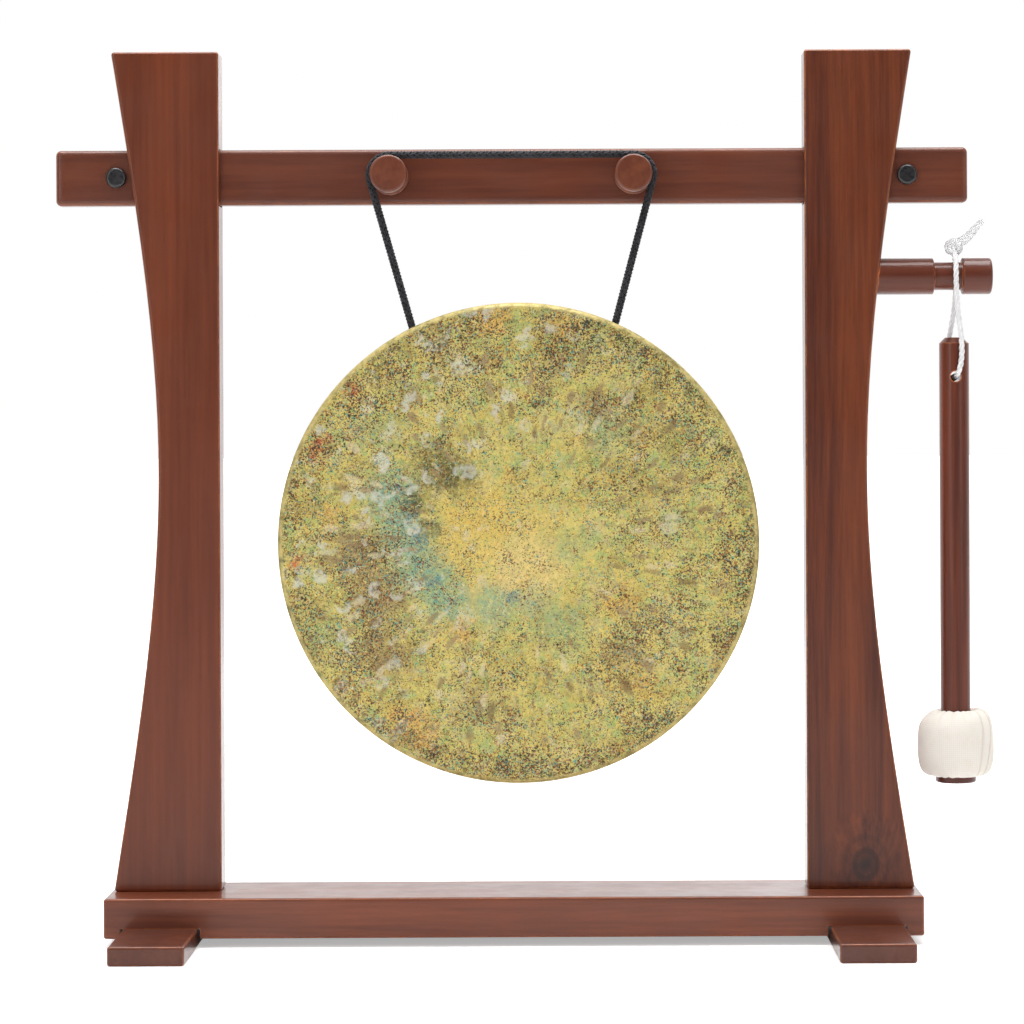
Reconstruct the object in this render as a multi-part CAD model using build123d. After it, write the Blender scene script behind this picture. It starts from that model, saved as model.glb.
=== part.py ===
from build123d import *
import math
import os

# Table gong on a wooden stand, with its mallet hung from a peg at the right.
# Millimetres. X runs across the stand, -Y is the front, +Z is up, and the feet stand on Z = 0.

# ---- Fits ----
wood_fit = 0.05            # between a dowel, tenon, nut or screw and its hole, all round
mortise_fit = 0.5          # between the crossbar and its mortise, all round
cord_fit = 0.3             # between a cord or a soft piece and what it lies on
housing_fit = 1.5          # at each side of a foot in its housing under the base

# ---- Base board and feet ----
base_length = 428.0
base_depth = 62.0
base_thickness = 21.0
foot_width = 39.0
foot_length = 178.0
foot_thickness = 10.0
foot_inset = 10.0          # from the end of the base board to the foot
housing_depth = 5.4
board_edge = 1.5           # small round on the edges of the boards

# ---- Posts ----
post_height = 444.5
post_thickness = 20.0
post_end_width = 57.0
post_waist_width = 32.7
post_edge_slope = 0.16     # lean of the curved edge at both ends, sideways per height
post_setback = 26.0        # from the front of the base board to the front of the post
post_gap = 310.0           # between the two posts

# ---- Crossbar and its lock pins ----
bar_length = 484.0
bar_height = 29.5
bar_thickness = 12.0
bar_round = 2.8
bar_above_base = 378.1     # from the top of the base board to the middle of the bar
pin_inset = 32.4           # from the end of the bar to the pin
pin_shank_radius = 3.0
pin_head_radius = 5.4
pin_head_thickness = 3.6
pin_head_round = 1.6
pin_tail = 5.0             # how far the pin stands out behind the bar

# ---- Rope pegs ----
rope_peg_spacing = 128.6
rope_peg_tenon_radius = 5.0
rope_peg_tenon_length = 9.0
rope_peg_groove_radius = 8.6
rope_peg_groove_width = 11.0
rope_peg_head_radius = 9.8
rope_peg_head_thickness = 8.0
rope_peg_collar_thickness = 5.0
peg_round = 1.4            # on the ends of the rope pegs and the mallet peg
peg_inner_round = 0.8      # on the other edges of their wide parts

# ---- Mallet peg ----
mallet_peg_above_base = 324.5
mallet_peg_radius = 9.8
mallet_peg_neck_radius = 7.5
mallet_peg_stem = 36.3     # from the waist of the post's edge to the neck
mallet_peg_neck_length = 15.2
mallet_peg_head_length = 15.6
mallet_peg_tenon_radius = 6.0
mallet_peg_tenon_length = 22.0

# ---- Gong ----
gong_radius = 127.0
gong_wall = 1.8
gong_rim_depth = 16.0
gong_corner = 3.2
gong_hole_angle = 25.0     # of each rope hole, from the top
gong_hole_setback = 8.0    # of the rope holes, behind the face
gong_hole_radius = 3.0
gong_roll = 1.0            # one leg of the rope is longer, so the gong hangs rolled
gong_side_shift = 3.0      # and a little to the right

# ---- Rope ----
rope_radius = 2.1
rope_drop = 80.2           # from the pegs' axes down to the line through the rope holes
rope_knot_radius = 4.8
rope_knot_height = 8.0
rope_knot_round = 3.4
rope_knot_gap = 1.2        # from the knot to the rim's wall, measured down the leg

# ---- Mallet ----
mallet_from_neck_end = 4.2     # from the shoulder of the peg's head to the mallet's axis
handle_radius = 7.9
handle_chamfer = 3.0
handle_top_below_peg = 32.8
handle_length = 233.0
cord_hole_below_top = 20.7
cord_hole_radius = 2.8
mallet_head_radius = 20.0
mallet_head_height = 36.6
mallet_head_round = 12.0
mallet_core_radius = 15.0
mallet_core_height = 28.0
end_cap_radius = 10.8
end_cap_thickness = 3.4
end_cap_round = 1.2
end_cap_spigot_radius = 4.0
end_cap_spigot_length = 14.0

# ---- Mallet cord ----
cord_radius = 1.5
cord_strand_gap = 0.5      # between the handle and the strand in front of or behind it
cord_bend = 3.0            # centre line radius where the cord turns into the handle
cord_end_gap = 0.3         # half the gap between the loop's two ends, under the knot
cord_knot_radius = 4.6
cord_knot_height = 8.6
cord_knot_round = 3.6
tail_radius = 1.3
# Route of the tail in the cross plane, from the middle of the knot: sideways and up.
tail_route = [(4.7, 1.6), (9.2, 4.4), (13.0, 9.0), (16.4, 14.6)]

# ---- Fasteners ----
bolt_radius = 3.0
bolt_length = 42.0
bolt_head_radius = 5.0
bolt_head_height = 6.0
bolt_socket_radius = 2.9
bolt_socket_depth = 3.5
nut_radius = 5.0
nut_length = 13.0
dowel_radius = 4.0
dowel_length = 30.0
dowel_chamfer = 0.8
dowel_in_base = 11.5
dowel_inset = 9.5          # from the side of the post to the dowel
foot_screw_radius = 2.0
foot_screw_length = 19.0
foot_screw_head_radius = 4.0
foot_screw_depth = 1.0     # of the head, inside the underside of the foot
foot_screw_spacing = 44.0

# ---- Places that follow from the sizes ----
base_bottom = foot_thickness - housing_depth
base_top = base_bottom + base_thickness
post_front = -base_depth / 2 + post_setback
post_mid_y = post_front + post_thickness / 2
post_inner = post_gap / 2
bar_z = base_top + bar_above_base
bar_front = post_mid_y - bar_thickness / 2
rope_y = bar_front - rope_peg_collar_thickness - rope_peg_groove_width / 2
rope_path_radius = rope_peg_groove_radius + rope_radius
peg_x = rope_peg_spacing / 2
foot_x = base_length / 2 - foot_inset - foot_width / 2
bolt_x = post_inner + post_end_width / 2
mallet_peg_z = base_top + mallet_peg_above_base
neck_start_x = post_inner + post_waist_width + mallet_peg_stem
neck_end_x = neck_start_x + mallet_peg_neck_length
mallet_x = neck_end_x - mallet_from_neck_end
handle_top_z = mallet_peg_z - handle_top_below_peg
cord_hole_z = handle_top_z - cord_hole_below_top

nodes = {}


def turned(steps, edge_round=0.0, inner_round=0.0):
    """A rod along +Z from stacked (length, radius) steps. Its far end is rounded, and so, if asked,
    is each other outer edge of its widest steps, apart from the edge where the rod starts."""
    rod = None
    z = 0.0
    for length, radius in steps:
        step = Pos(0, 0, z + length / 2) * Cylinder(radius, length)
        rod = step if rod is None else rod + step
        z += length
    if inner_round > 0:
        widest = max(radius for length, radius in steps)
        rings = [edge for edge in rod.edges().filter_by(GeomType.CIRCLE)
                 if abs(edge.radius - widest) < 0.01 and 0.01 < edge.center().Z < z - 0.01]
        rod = fillet(rings, inner_round)
    if edge_round > 0:
        rod = fillet(rod.edges().filter_by(GeomType.CIRCLE).sort_by(Axis.Z)[-1:], edge_round)
    return rod


def rod_at(x, y, z, radius, length, direction):
    """A plain cylinder that starts at a point and runs in a direction."""
    place = Plane(origin=(x, y, z), z_dir=direction).location
    return place * Pos(0, 0, length / 2) * Cylinder(radius, length)


def solids_of(shapes):
    """Every solid of a node, which is one shape or a list of them."""
    group = shapes if isinstance(shapes, list) else [shapes]
    return [solid for shape in group for solid in shape.solids()]


def mirrored(shape):
    """The same shape on the other side of the stand."""
    return mirror(shape, about=Plane.YZ)


def swept_tube(path, radius, name):
    """A round tube along a path of straight runs and arcs, with its volume compared."""
    tube = sweep(Plane(origin=path @ 0, z_dir=path % 0) * Circle(radius), path=path)
    expected = math.pi * radius**2 * path.length
    print(f"{name}: length {path.length:.1f}, volume is {tube.volume / expected:.4f} of section x length")
    return tube


# ---- Base board, feet and what holds them ----
def build_base():
    board = Pos(0, 0, base_bottom + base_thickness / 2) * Box(base_length, base_depth, base_thickness)
    board = fillet(board.edges(), board_edge)
    for side in (-1, 1):
        housing = Box(foot_width + 2 * housing_fit, base_depth + 2, housing_depth)
        board -= Pos(side * foot_x, 0, base_bottom + housing_depth / 2) * housing
        seat_z = base_bottom + housing_depth
        x = side * bolt_x
        head_room = bolt_head_height + 2 * wood_fit
        board -= rod_at(x, post_mid_y, seat_z, bolt_head_radius + 2 * wood_fit, head_room, (0, 0, 1))
        board -= rod_at(x, post_mid_y, seat_z, bolt_radius + wood_fit, base_thickness, (0, 0, 1))
        for dowel_x in dowel_places(side):
            board -= rod_at(dowel_x, post_mid_y, base_top, dowel_radius + wood_fit,
                            dowel_in_base + wood_fit, (0, 0, -1))
        for screw_y in (-foot_screw_spacing / 2, foot_screw_spacing / 2):
            depth = foot_screw_length - foot_thickness + wood_fit
            board -= rod_at(side * foot_x, screw_y, seat_z, foot_screw_radius + wood_fit, depth, (0, 0, 1))
    return board


def dowel_places(side):
    """Where the two dowels under a post stand, along X."""
    inner = post_inner + dowel_inset
    outer = post_inner + post_end_width - dowel_inset
    return (side * inner, side * outer)


def build_foot(side):
    foot = Pos(side * foot_x, 0, foot_thickness / 2) * Box(foot_width, foot_length, foot_thickness)
    foot = fillet(foot.edges(), board_edge)
    for screw_y in (-foot_screw_spacing / 2, foot_screw_spacing / 2):
        foot -= Pos(side * foot_x, screw_y, 0) * foot_screw_shape(wood_fit)
    return foot


def foot_screw_shape(room=0.0):
    """A countersunk screw that points up from the underside of a foot, or the room for it."""
    head = foot_screw_head_radius + room
    shank = foot_screw_radius + room
    start = foot_screw_depth
    cone = rod_at(0, 0, start, shank, foot_screw_length - start, (0, 0, 1))
    cone += Pos(0, 0, start + (head - shank) / 2) * Cone(head, shank, head - shank)
    if room:
        cone += rod_at(0, 0, 0, head, start, (0, 0, 1))
    return cone


def build_post_bolt(side):
    start = base_bottom + housing_depth + wood_fit
    steps = [(bolt_head_height, bolt_head_radius), (bolt_length, bolt_radius)]
    bolt = turned(steps)
    socket = extrude(RegularPolygon(bolt_socket_radius, 6), bolt_socket_depth)
    return Pos(side * bolt_x, post_mid_y, start) * (bolt - socket)


def build_insert_nut(side):
    nut = Cylinder(nut_radius, nut_length) - Cylinder(bolt_radius + wood_fit, nut_length)
    return Pos(side * bolt_x, post_mid_y, base_top + wood_fit + nut_length / 2) * nut


def build_dowel(x):
    dowel = chamfer(Cylinder(dowel_radius, dowel_length).edges().filter_by(GeomType.CIRCLE), dowel_chamfer)
    return Pos(x, post_mid_y, base_top - dowel_in_base + dowel_length / 2) * dowel


# ---- Posts ----
def build_post():
    """The right-hand post: straight inside edge, hollow curve outside."""
    bottom_in = (post_inner, base_top)
    bottom_out = (post_inner + post_end_width, base_top)
    waist = (post_inner + post_waist_width, base_top + post_height / 2)
    top_out = (post_inner + post_end_width, base_top + post_height)
    top_in = (post_inner, base_top + post_height)
    with BuildSketch(Plane.XZ) as outline:
        with BuildLine():
            Line(bottom_in, bottom_out)
            Spline(bottom_out, waist, top_out, tangents=[(-post_edge_slope, 1), (post_edge_slope, 1)])
            Line(top_out, top_in)
            Line(top_in, bottom_in)
        make_face()
    post = Pos(0, post_front, 0) * extrude(outline.sketch, -post_thickness)
    post = fillet(post.edges(), board_edge)
    mortise = Box(post_end_width * 3, bar_thickness + 2 * mortise_fit, bar_height + 2 * mortise_fit)
    post -= Pos(post_inner, post_mid_y, bar_z) * mortise
    post -= rod_at(bolt_x, post_mid_y, base_top, bolt_radius + wood_fit, bolt_length, (0, 0, 1))
    post -= rod_at(bolt_x, post_mid_y, base_top, nut_radius + wood_fit, nut_length + 2 * wood_fit, (0, 0, 1))
    for dowel_x in dowel_places(1):
        depth = dowel_length - dowel_in_base + wood_fit
        post -= rod_at(dowel_x, post_mid_y, base_top, dowel_radius + wood_fit, depth, (0, 0, 1))
    return post


# ---- Crossbar, lock pins and rope pegs ----
def build_crossbar():
    bar = Pos(0, post_mid_y, bar_z) * Box(bar_length, bar_thickness, bar_height)
    bar = fillet(bar.edges(), bar_round)
    for side in (-1, 1):
        pin_x = side * (bar_length / 2 - pin_inset)
        bar -= rod_at(pin_x, bar_front - 1, bar_z, pin_shank_radius + wood_fit, bar_thickness + 2, (0, 1, 0))
        bar -= rod_at(side * peg_x, bar_front, bar_z, rope_peg_tenon_radius + wood_fit,
                      rope_peg_tenon_length + wood_fit, (0, 1, 0))
    return bar


def build_lock_pin(side):
    steps = [(bar_thickness + pin_tail, pin_shank_radius), (pin_head_thickness, pin_head_radius)]
    pin = turned(steps, edge_round=pin_head_round)
    far_y = bar_front + bar_thickness + pin_tail
    place = Plane(origin=(side * (bar_length / 2 - pin_inset), far_y, bar_z), z_dir=(0, -1, 0))
    return place.location * pin


def build_rope_peg(side):
    steps = [(rope_peg_tenon_length, rope_peg_tenon_radius),
             (rope_peg_collar_thickness, rope_peg_head_radius),
             (rope_peg_groove_width, rope_peg_groove_radius),
             (rope_peg_head_thickness, rope_peg_head_radius)]
    place = Plane(origin=(side * peg_x, bar_front + rope_peg_tenon_length, bar_z), z_dir=(0, -1, 0))
    return place.location * turned(steps, peg_round, peg_inner_round)


# ---- Mallet peg ----
def build_mallet_peg(post):
    """The peg runs out of the post's edge, and its stem is coped to the edge's curve."""
    tenon_start = post_inner + post_waist_width - mallet_peg_tenon_length
    steps = [(neck_start_x - post_inner - post_waist_width, mallet_peg_radius),
             (mallet_peg_neck_length, mallet_peg_neck_radius),
             (mallet_peg_head_length, mallet_peg_radius)]
    place = Plane(origin=(post_inner + post_waist_width, post_mid_y, mallet_peg_z), z_dir=(1, 0, 0))
    stem = place.location * turned(steps, peg_round, peg_inner_round)
    stem -= post
    stem = stem.solids().sort_by(SortBy.VOLUME)[-1]
    tenon_length = neck_start_x - tenon_start
    return stem + rod_at(tenon_start, post_mid_y, mallet_peg_z, mallet_peg_tenon_radius, tenon_length, (1, 0, 0))


def mallet_peg_hole():
    start = post_inner + post_waist_width - mallet_peg_tenon_length - wood_fit
    return rod_at(start, post_mid_y, mallet_peg_z, mallet_peg_tenon_radius + wood_fit,
                  mallet_peg_tenon_length + post_end_width, (1, 0, 0))


# ---- Gong ----
def build_gong():
    """The gong in its own place: centre of the face at the origin, face towards -Y."""
    wall = gong_wall
    radius = gong_radius
    depth = gong_rim_depth
    with BuildSketch() as section:
        with BuildLine():
            Polyline((0, 0), (radius, 0), (radius, depth), (radius - wall, depth),
                     (radius - wall, wall), (0, wall), close=True)
        make_face()
        fillet(section.vertices().sort_by_distance((radius, 0))[0], gong_corner)
        fillet(section.vertices().sort_by_distance((radius - wall, wall))[0], gong_corner - wall)
    gong = revolve(section.sketch, Axis.Y)
    for side in (-1, 1):
        angle = math.radians(gong_hole_angle)
        outward = (side * math.sin(angle), 0, math.cos(angle))
        inside = radius - 2 * wall
        start = (outward[0] * inside, gong_hole_setback, outward[2] * inside)
        gong -= rod_at(*start, gong_hole_radius, 3 * wall, outward)
    return gong


def gong_location(gong):
    """Where the gong hangs: its centre of mass lies straight under the line through its holes."""
    hole_line = (gong_radius - gong_wall / 2) * math.cos(math.radians(gong_hole_angle))
    mass_centre = gong.center(CenterOf.MASS)
    tilt = math.degrees(math.atan2(gong_hole_setback - mass_centre.Y, hole_line))
    turn = Rot(X=tilt) * Rot(Y=-gong_roll)
    hang = turn * Pos(0, gong_hole_setback, hole_line)
    rise = bar_z - rope_drop - hang.position.Z
    return Pos(gong_side_shift, rope_y - hang.position.Y, rise) * turn


def hole_point(place, side):
    """The middle of a rope hole, on the middle of the rim's wall."""
    angle = math.radians(gong_hole_angle)
    reach = gong_radius - gong_wall / 2
    local = Pos(side * reach * math.sin(angle), gong_hole_setback, reach * math.cos(angle))
    return (place * local).position


# ---- Rope ----
def rope_tangent(side, hole):
    """Where the leg leaves the rope's turn round the peg: its angle, and the point."""
    across = side * hole.X - peg_x
    down = bar_z - hole.Z
    distance = math.hypot(across, down)
    slope = math.asin(rope_path_radius / distance) - math.atan2(across, down)
    point = Vector(side * (peg_x + rope_path_radius * math.cos(slope)), rope_y,
                   bar_z - rope_path_radius * math.sin(slope))
    return slope, point


def build_rope_over_pegs(slopes):
    """One run over both pegs. Each end stops short of the leg's round top."""
    short = (rope_radius + cord_fit) / rope_path_radius
    plane = Plane(origin=(0, rope_y, bar_z), x_dir=(1, 0, 0), z_dir=(0, -1, 0))
    with BuildLine(plane) as route:
        left_sweep = math.degrees(math.pi / 2 + slopes[-1] - short)
        right_sweep = math.degrees(math.pi / 2 + slopes[1] - short)
        CenterArc((-peg_x, 0), rope_path_radius, 90 + left_sweep, -left_sweep)
        Line((-peg_x, rope_path_radius), (peg_x, rope_path_radius))
        CenterArc((peg_x, 0), rope_path_radius, 90, -right_sweep)
    print(f"rope_over_pegs radii: {rope_path_radius:.1f}, {rope_path_radius:.1f}")
    return swept_tube(route.wire(), rope_radius, "rope_over_pegs")


def build_rope_leg(top, hole):
    """A straight leg with a round top, which ends in the knot under the rim."""
    along = (hole - top).normalized()
    end = hole + along * (gong_wall / 2 + rope_knot_gap)
    length = (end - top).length
    leg = rod_at(*top, rope_radius, length, along)
    return leg + Pos(*top) * Sphere(rope_radius)


def build_rope_knot(top, hole):
    along = (hole - top).normalized()
    start = hole + along * (gong_wall / 2 + rope_knot_gap)
    knot = turned([(rope_knot_height, rope_knot_radius)])
    knot = fillet(knot.edges().filter_by(GeomType.CIRCLE), rope_knot_round)
    return Plane(origin=start, z_dir=along).location * knot


# ---- Mallet ----
def build_handle():
    bottom = handle_top_z - handle_length
    handle = Pos(mallet_x, post_mid_y, bottom + handle_length / 2) * Cylinder(handle_radius, handle_length)
    handle = chamfer(handle.edges().filter_by(GeomType.CIRCLE).sort_by(Axis.Z)[-1:], handle_chamfer)
    handle -= rod_at(mallet_x, post_mid_y - 2 * handle_radius, cord_hole_z, cord_hole_radius,
                     4 * handle_radius, (0, 1, 0))
    spigot = end_cap_spigot_length + wood_fit
    return handle - rod_at(mallet_x, post_mid_y, bottom, end_cap_spigot_radius + wood_fit, spigot, (0, 0, 1))


def build_end_cap():
    steps = [(end_cap_spigot_length, end_cap_spigot_radius), (end_cap_thickness, end_cap_radius)]
    cap = turned(steps, edge_round=end_cap_round)
    top = handle_top_z - handle_length + end_cap_spigot_length
    return Plane(origin=(mallet_x, post_mid_y, top), z_dir=(0, 0, -1)).location * cap


def build_core():
    height = mallet_core_height
    core = Cylinder(mallet_core_radius, height) - Cylinder(handle_radius + wood_fit, height)
    return Pos(mallet_x, post_mid_y, mallet_head_middle()) * core


def mallet_head_middle():
    return handle_top_z - handle_length + mallet_head_height / 2


def build_wrap():
    """The soft cover: a rounded barrel, hollow round the core and the handle."""
    wrap = Cylinder(mallet_head_radius, mallet_head_height)
    wrap = fillet(wrap.edges().filter_by(GeomType.CIRCLE), mallet_head_round)
    wrap -= Cylinder(mallet_core_radius + wood_fit, mallet_core_height + 2 * wood_fit)
    wrap -= Cylinder(handle_radius + wood_fit, mallet_head_height + 2)
    return Pos(mallet_x, post_mid_y, mallet_head_middle()) * wrap


# ---- Mallet cord ----
def build_cord_loop():
    """One cord: over the neck, down in front, through the handle and up behind."""
    half_width = handle_radius + cord_strand_gap + cord_radius
    crown = mallet_peg_neck_radius + cord_fit + cord_radius
    centre = crown - half_width
    hole = cord_hole_z - mallet_peg_z
    gap = math.degrees(cord_end_gap / half_width)
    bend = cord_bend
    plane = Plane(origin=(mallet_x, post_mid_y, mallet_peg_z), x_dir=(0, 1, 0), z_dir=(1, 0, 0))
    with BuildLine(plane) as route:
        CenterArc((0, centre), half_width, 90 + gap, 90 - gap)
        Line((-half_width, centre), (-half_width, hole + bend))
        CenterArc((bend - half_width, hole + bend), bend, 180, 90)
        Line((bend - half_width, hole), (half_width - bend, hole))
        CenterArc((half_width - bend, hole + bend), bend, 270, 90)
        Line((half_width, hole + bend), (half_width, centre))
        CenterArc((0, centre), half_width, 0, 90 - gap)
    print(f"mallet_cord radii: {half_width:.1f}, {bend:.1f}, {bend:.1f}, {half_width:.1f}")
    return swept_tube(route.wire(), cord_radius, "mallet_cord")


def cord_knot_middle():
    """The knot sits on the loop, above the neck."""
    top = mallet_peg_z + mallet_peg_neck_radius + cord_fit + 2 * cord_radius
    return Vector(mallet_x, post_mid_y, top + wood_fit + cord_knot_height / 2)


def build_cord_knot():
    knot = fillet(Cylinder(cord_knot_radius, cord_knot_height).edges().filter_by(GeomType.CIRCLE), cord_knot_round)
    return Pos(*cord_knot_middle()) * knot


def build_cord_tail():
    middle = cord_knot_middle()
    plane = Plane(origin=middle, x_dir=(1, 0, 0), z_dir=(0, -1, 0))
    radii = route_radii(tail_route)
    print("mallet_cord_tail radii: " + ", ".join(f"{radius:.1f}" for radius in radii))
    with BuildLine(plane) as route:
        FilletPolyline(*tail_route, radius=radii)
    return swept_tube(route.wire(), tail_radius, "mallet_cord_tail")


def route_radii(points):
    """The largest arc that each corner's two runs allow."""
    radii = []
    for before, here, after in zip(points, points[1:], points[2:]):
        first = Vector(*here) - Vector(*before)
        second = Vector(*after) - Vector(*here)
        half_turn = math.radians(first.get_angle(second)) / 2
        radii.append(0.45 * min(first.length, second.length) / math.tan(half_turn))
    return radii


# ---- Assembly ----
right_post = build_post()
nodes["base_board"] = build_base()
nodes["foot_left"] = build_foot(-1)
nodes["foot_right"] = build_foot(1)
nodes["post_left"] = mirrored(right_post)
nodes["post_right"] = right_post - mallet_peg_hole()
nodes["crossbar"] = build_crossbar()
nodes["rope_peg_left"] = build_rope_peg(-1)
nodes["rope_peg_right"] = build_rope_peg(1)
nodes["lock_pin_left"] = build_lock_pin(-1)
nodes["lock_pin_right"] = build_lock_pin(1)
nodes["mallet_peg"] = build_mallet_peg(right_post)
nodes["post_bolts"] = [build_post_bolt(side) for side in (-1, 1)]
nodes["post_insert_nuts"] = [build_insert_nut(side) for side in (-1, 1)]
nodes["post_dowels"] = [build_dowel(x) for side in (-1, 1) for x in dowel_places(side)]
nodes["foot_screws"] = [Pos(side * foot_x, y, 0) * foot_screw_shape()
                        for side in (-1, 1) for y in (-foot_screw_spacing / 2, foot_screw_spacing / 2)]

gong_shape = build_gong()
gong_place = gong_location(gong_shape)
nodes["gong_disc"] = gong_place * gong_shape

slopes = {}
tops = {}
for side, word in ((-1, "left"), (1, "right")):
    hole = hole_point(gong_place, side)
    slopes[side], tops[side] = rope_tangent(side, hole)
    nodes[f"rope_leg_{word}"] = build_rope_leg(tops[side], hole)
    nodes[f"rope_knot_{word}"] = build_rope_knot(tops[side], hole)
nodes["rope_over_pegs"] = build_rope_over_pegs(slopes)

nodes["mallet_handle"] = build_handle()
nodes["mallet_core"] = build_core()
nodes["mallet_wrap"] = build_wrap()
nodes["mallet_end_cap"] = build_end_cap()
nodes["mallet_cord"] = build_cord_loop()
nodes["mallet_cord_knot"] = build_cord_knot()
nodes["mallet_cord_tail"] = build_cord_tail()

# The origin is on the ground, in the middle of the whole object's outline.
cord_names = ("rope_leg", "rope_knot", "rope_over", "mallet_cord")
hard_pieces = [solid for name, shape in nodes.items() if not name.startswith(cord_names)
               for solid in solids_of(shape)]
box = Compound(hard_pieces).bounding_box()
shift = Pos(-(box.min.X + box.max.X) / 2, -(box.min.Y + box.max.Y) / 2, -box.min.Z)

os.makedirs("parts", exist_ok=True)
for name, shapes in nodes.items():
    placed = [shift * solid for solid in solids_of(shapes)]
    export_step(placed[0] if len(placed) == 1 else Compound(placed), f"parts/{name}.step")

offset = shift.position
print(f"box of the hard pieces: {box.size.X:.2f} x {box.size.Y:.2f} x {box.size.Z:.2f}")
print(f"stand centre plane at X {offset.X:.3f}, shift Y {offset.Y:.3f}, Z {offset.Z:.3f}")
landmarks = {
    "left rope top": tops[-1],
    "right rope top": tops[1],
    "left rope hole": hole_point(gong_place, -1),
    "right rope hole": hole_point(gong_place, 1),
    "gong centre": gong_place.position,
    "mallet peg axis": Vector(mallet_x, post_mid_y, mallet_peg_z),
    "mallet cord hole": Vector(mallet_x, post_mid_y, cord_hole_z),
}
for label, point in landmarks.items():
    place = point + offset
    print(f"{label}: {place.X:.3f}, {place.Y:.3f}, {place.Z:.3f}")
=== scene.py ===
"""Looks of a tabletop gong on a wooden stand with its mallet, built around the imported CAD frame.

Each sub-assembly is a class that makes its pieces, rides them on their bodies and dresses them.
Each finish is a frozen dataclass, and effects that several finishes share are node groups.
"""

import logging
import math
import random
from dataclasses import dataclass, field
from enum import Enum
from typing import Callable, Sequence

import bmesh
import bpy
import numpy as np
from mathutils import Euler, Matrix, Vector, noise


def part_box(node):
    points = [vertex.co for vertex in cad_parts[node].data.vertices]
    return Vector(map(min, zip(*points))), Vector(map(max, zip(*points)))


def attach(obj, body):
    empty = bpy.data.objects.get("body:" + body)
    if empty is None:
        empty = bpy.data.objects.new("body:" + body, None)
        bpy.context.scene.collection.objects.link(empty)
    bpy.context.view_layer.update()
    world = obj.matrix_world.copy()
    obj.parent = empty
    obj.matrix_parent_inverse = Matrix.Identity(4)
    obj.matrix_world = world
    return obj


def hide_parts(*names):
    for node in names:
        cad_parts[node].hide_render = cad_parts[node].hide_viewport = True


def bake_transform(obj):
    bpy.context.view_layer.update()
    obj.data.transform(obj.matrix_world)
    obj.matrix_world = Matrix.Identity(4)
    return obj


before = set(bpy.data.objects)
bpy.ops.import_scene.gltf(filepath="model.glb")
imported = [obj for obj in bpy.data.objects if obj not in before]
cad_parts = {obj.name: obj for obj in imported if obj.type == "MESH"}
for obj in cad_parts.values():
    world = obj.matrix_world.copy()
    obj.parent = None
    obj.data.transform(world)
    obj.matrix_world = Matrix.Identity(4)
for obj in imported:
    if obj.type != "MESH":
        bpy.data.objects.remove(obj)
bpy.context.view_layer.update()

LOG = logging.getLogger("gong")
MM = 0.001
Colour = tuple[float, float, float, float]
Point = tuple[float, float, float]


def tone(red: int, green: int, blue: int) -> Colour:
    """A screen colour as the linear colour that a shader takes.

    Args:
        red: Red from 0 to 255.
        green: Green from 0 to 255.
        blue: Blue from 0 to 255.

    Returns:
        Linear red, green and blue, and an alpha of 1.
    """

    def linear(level: int) -> float:
        """One channel without the screen's gamma."""
        share = level / 255
        return share / 12.92 if share <= 0.04045 else ((share + 0.055) / 1.055) ** 2.4

    return (linear(red), linear(green), linear(blue), 1.0)


# ---------------------------------------------------------------- node tools


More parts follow.
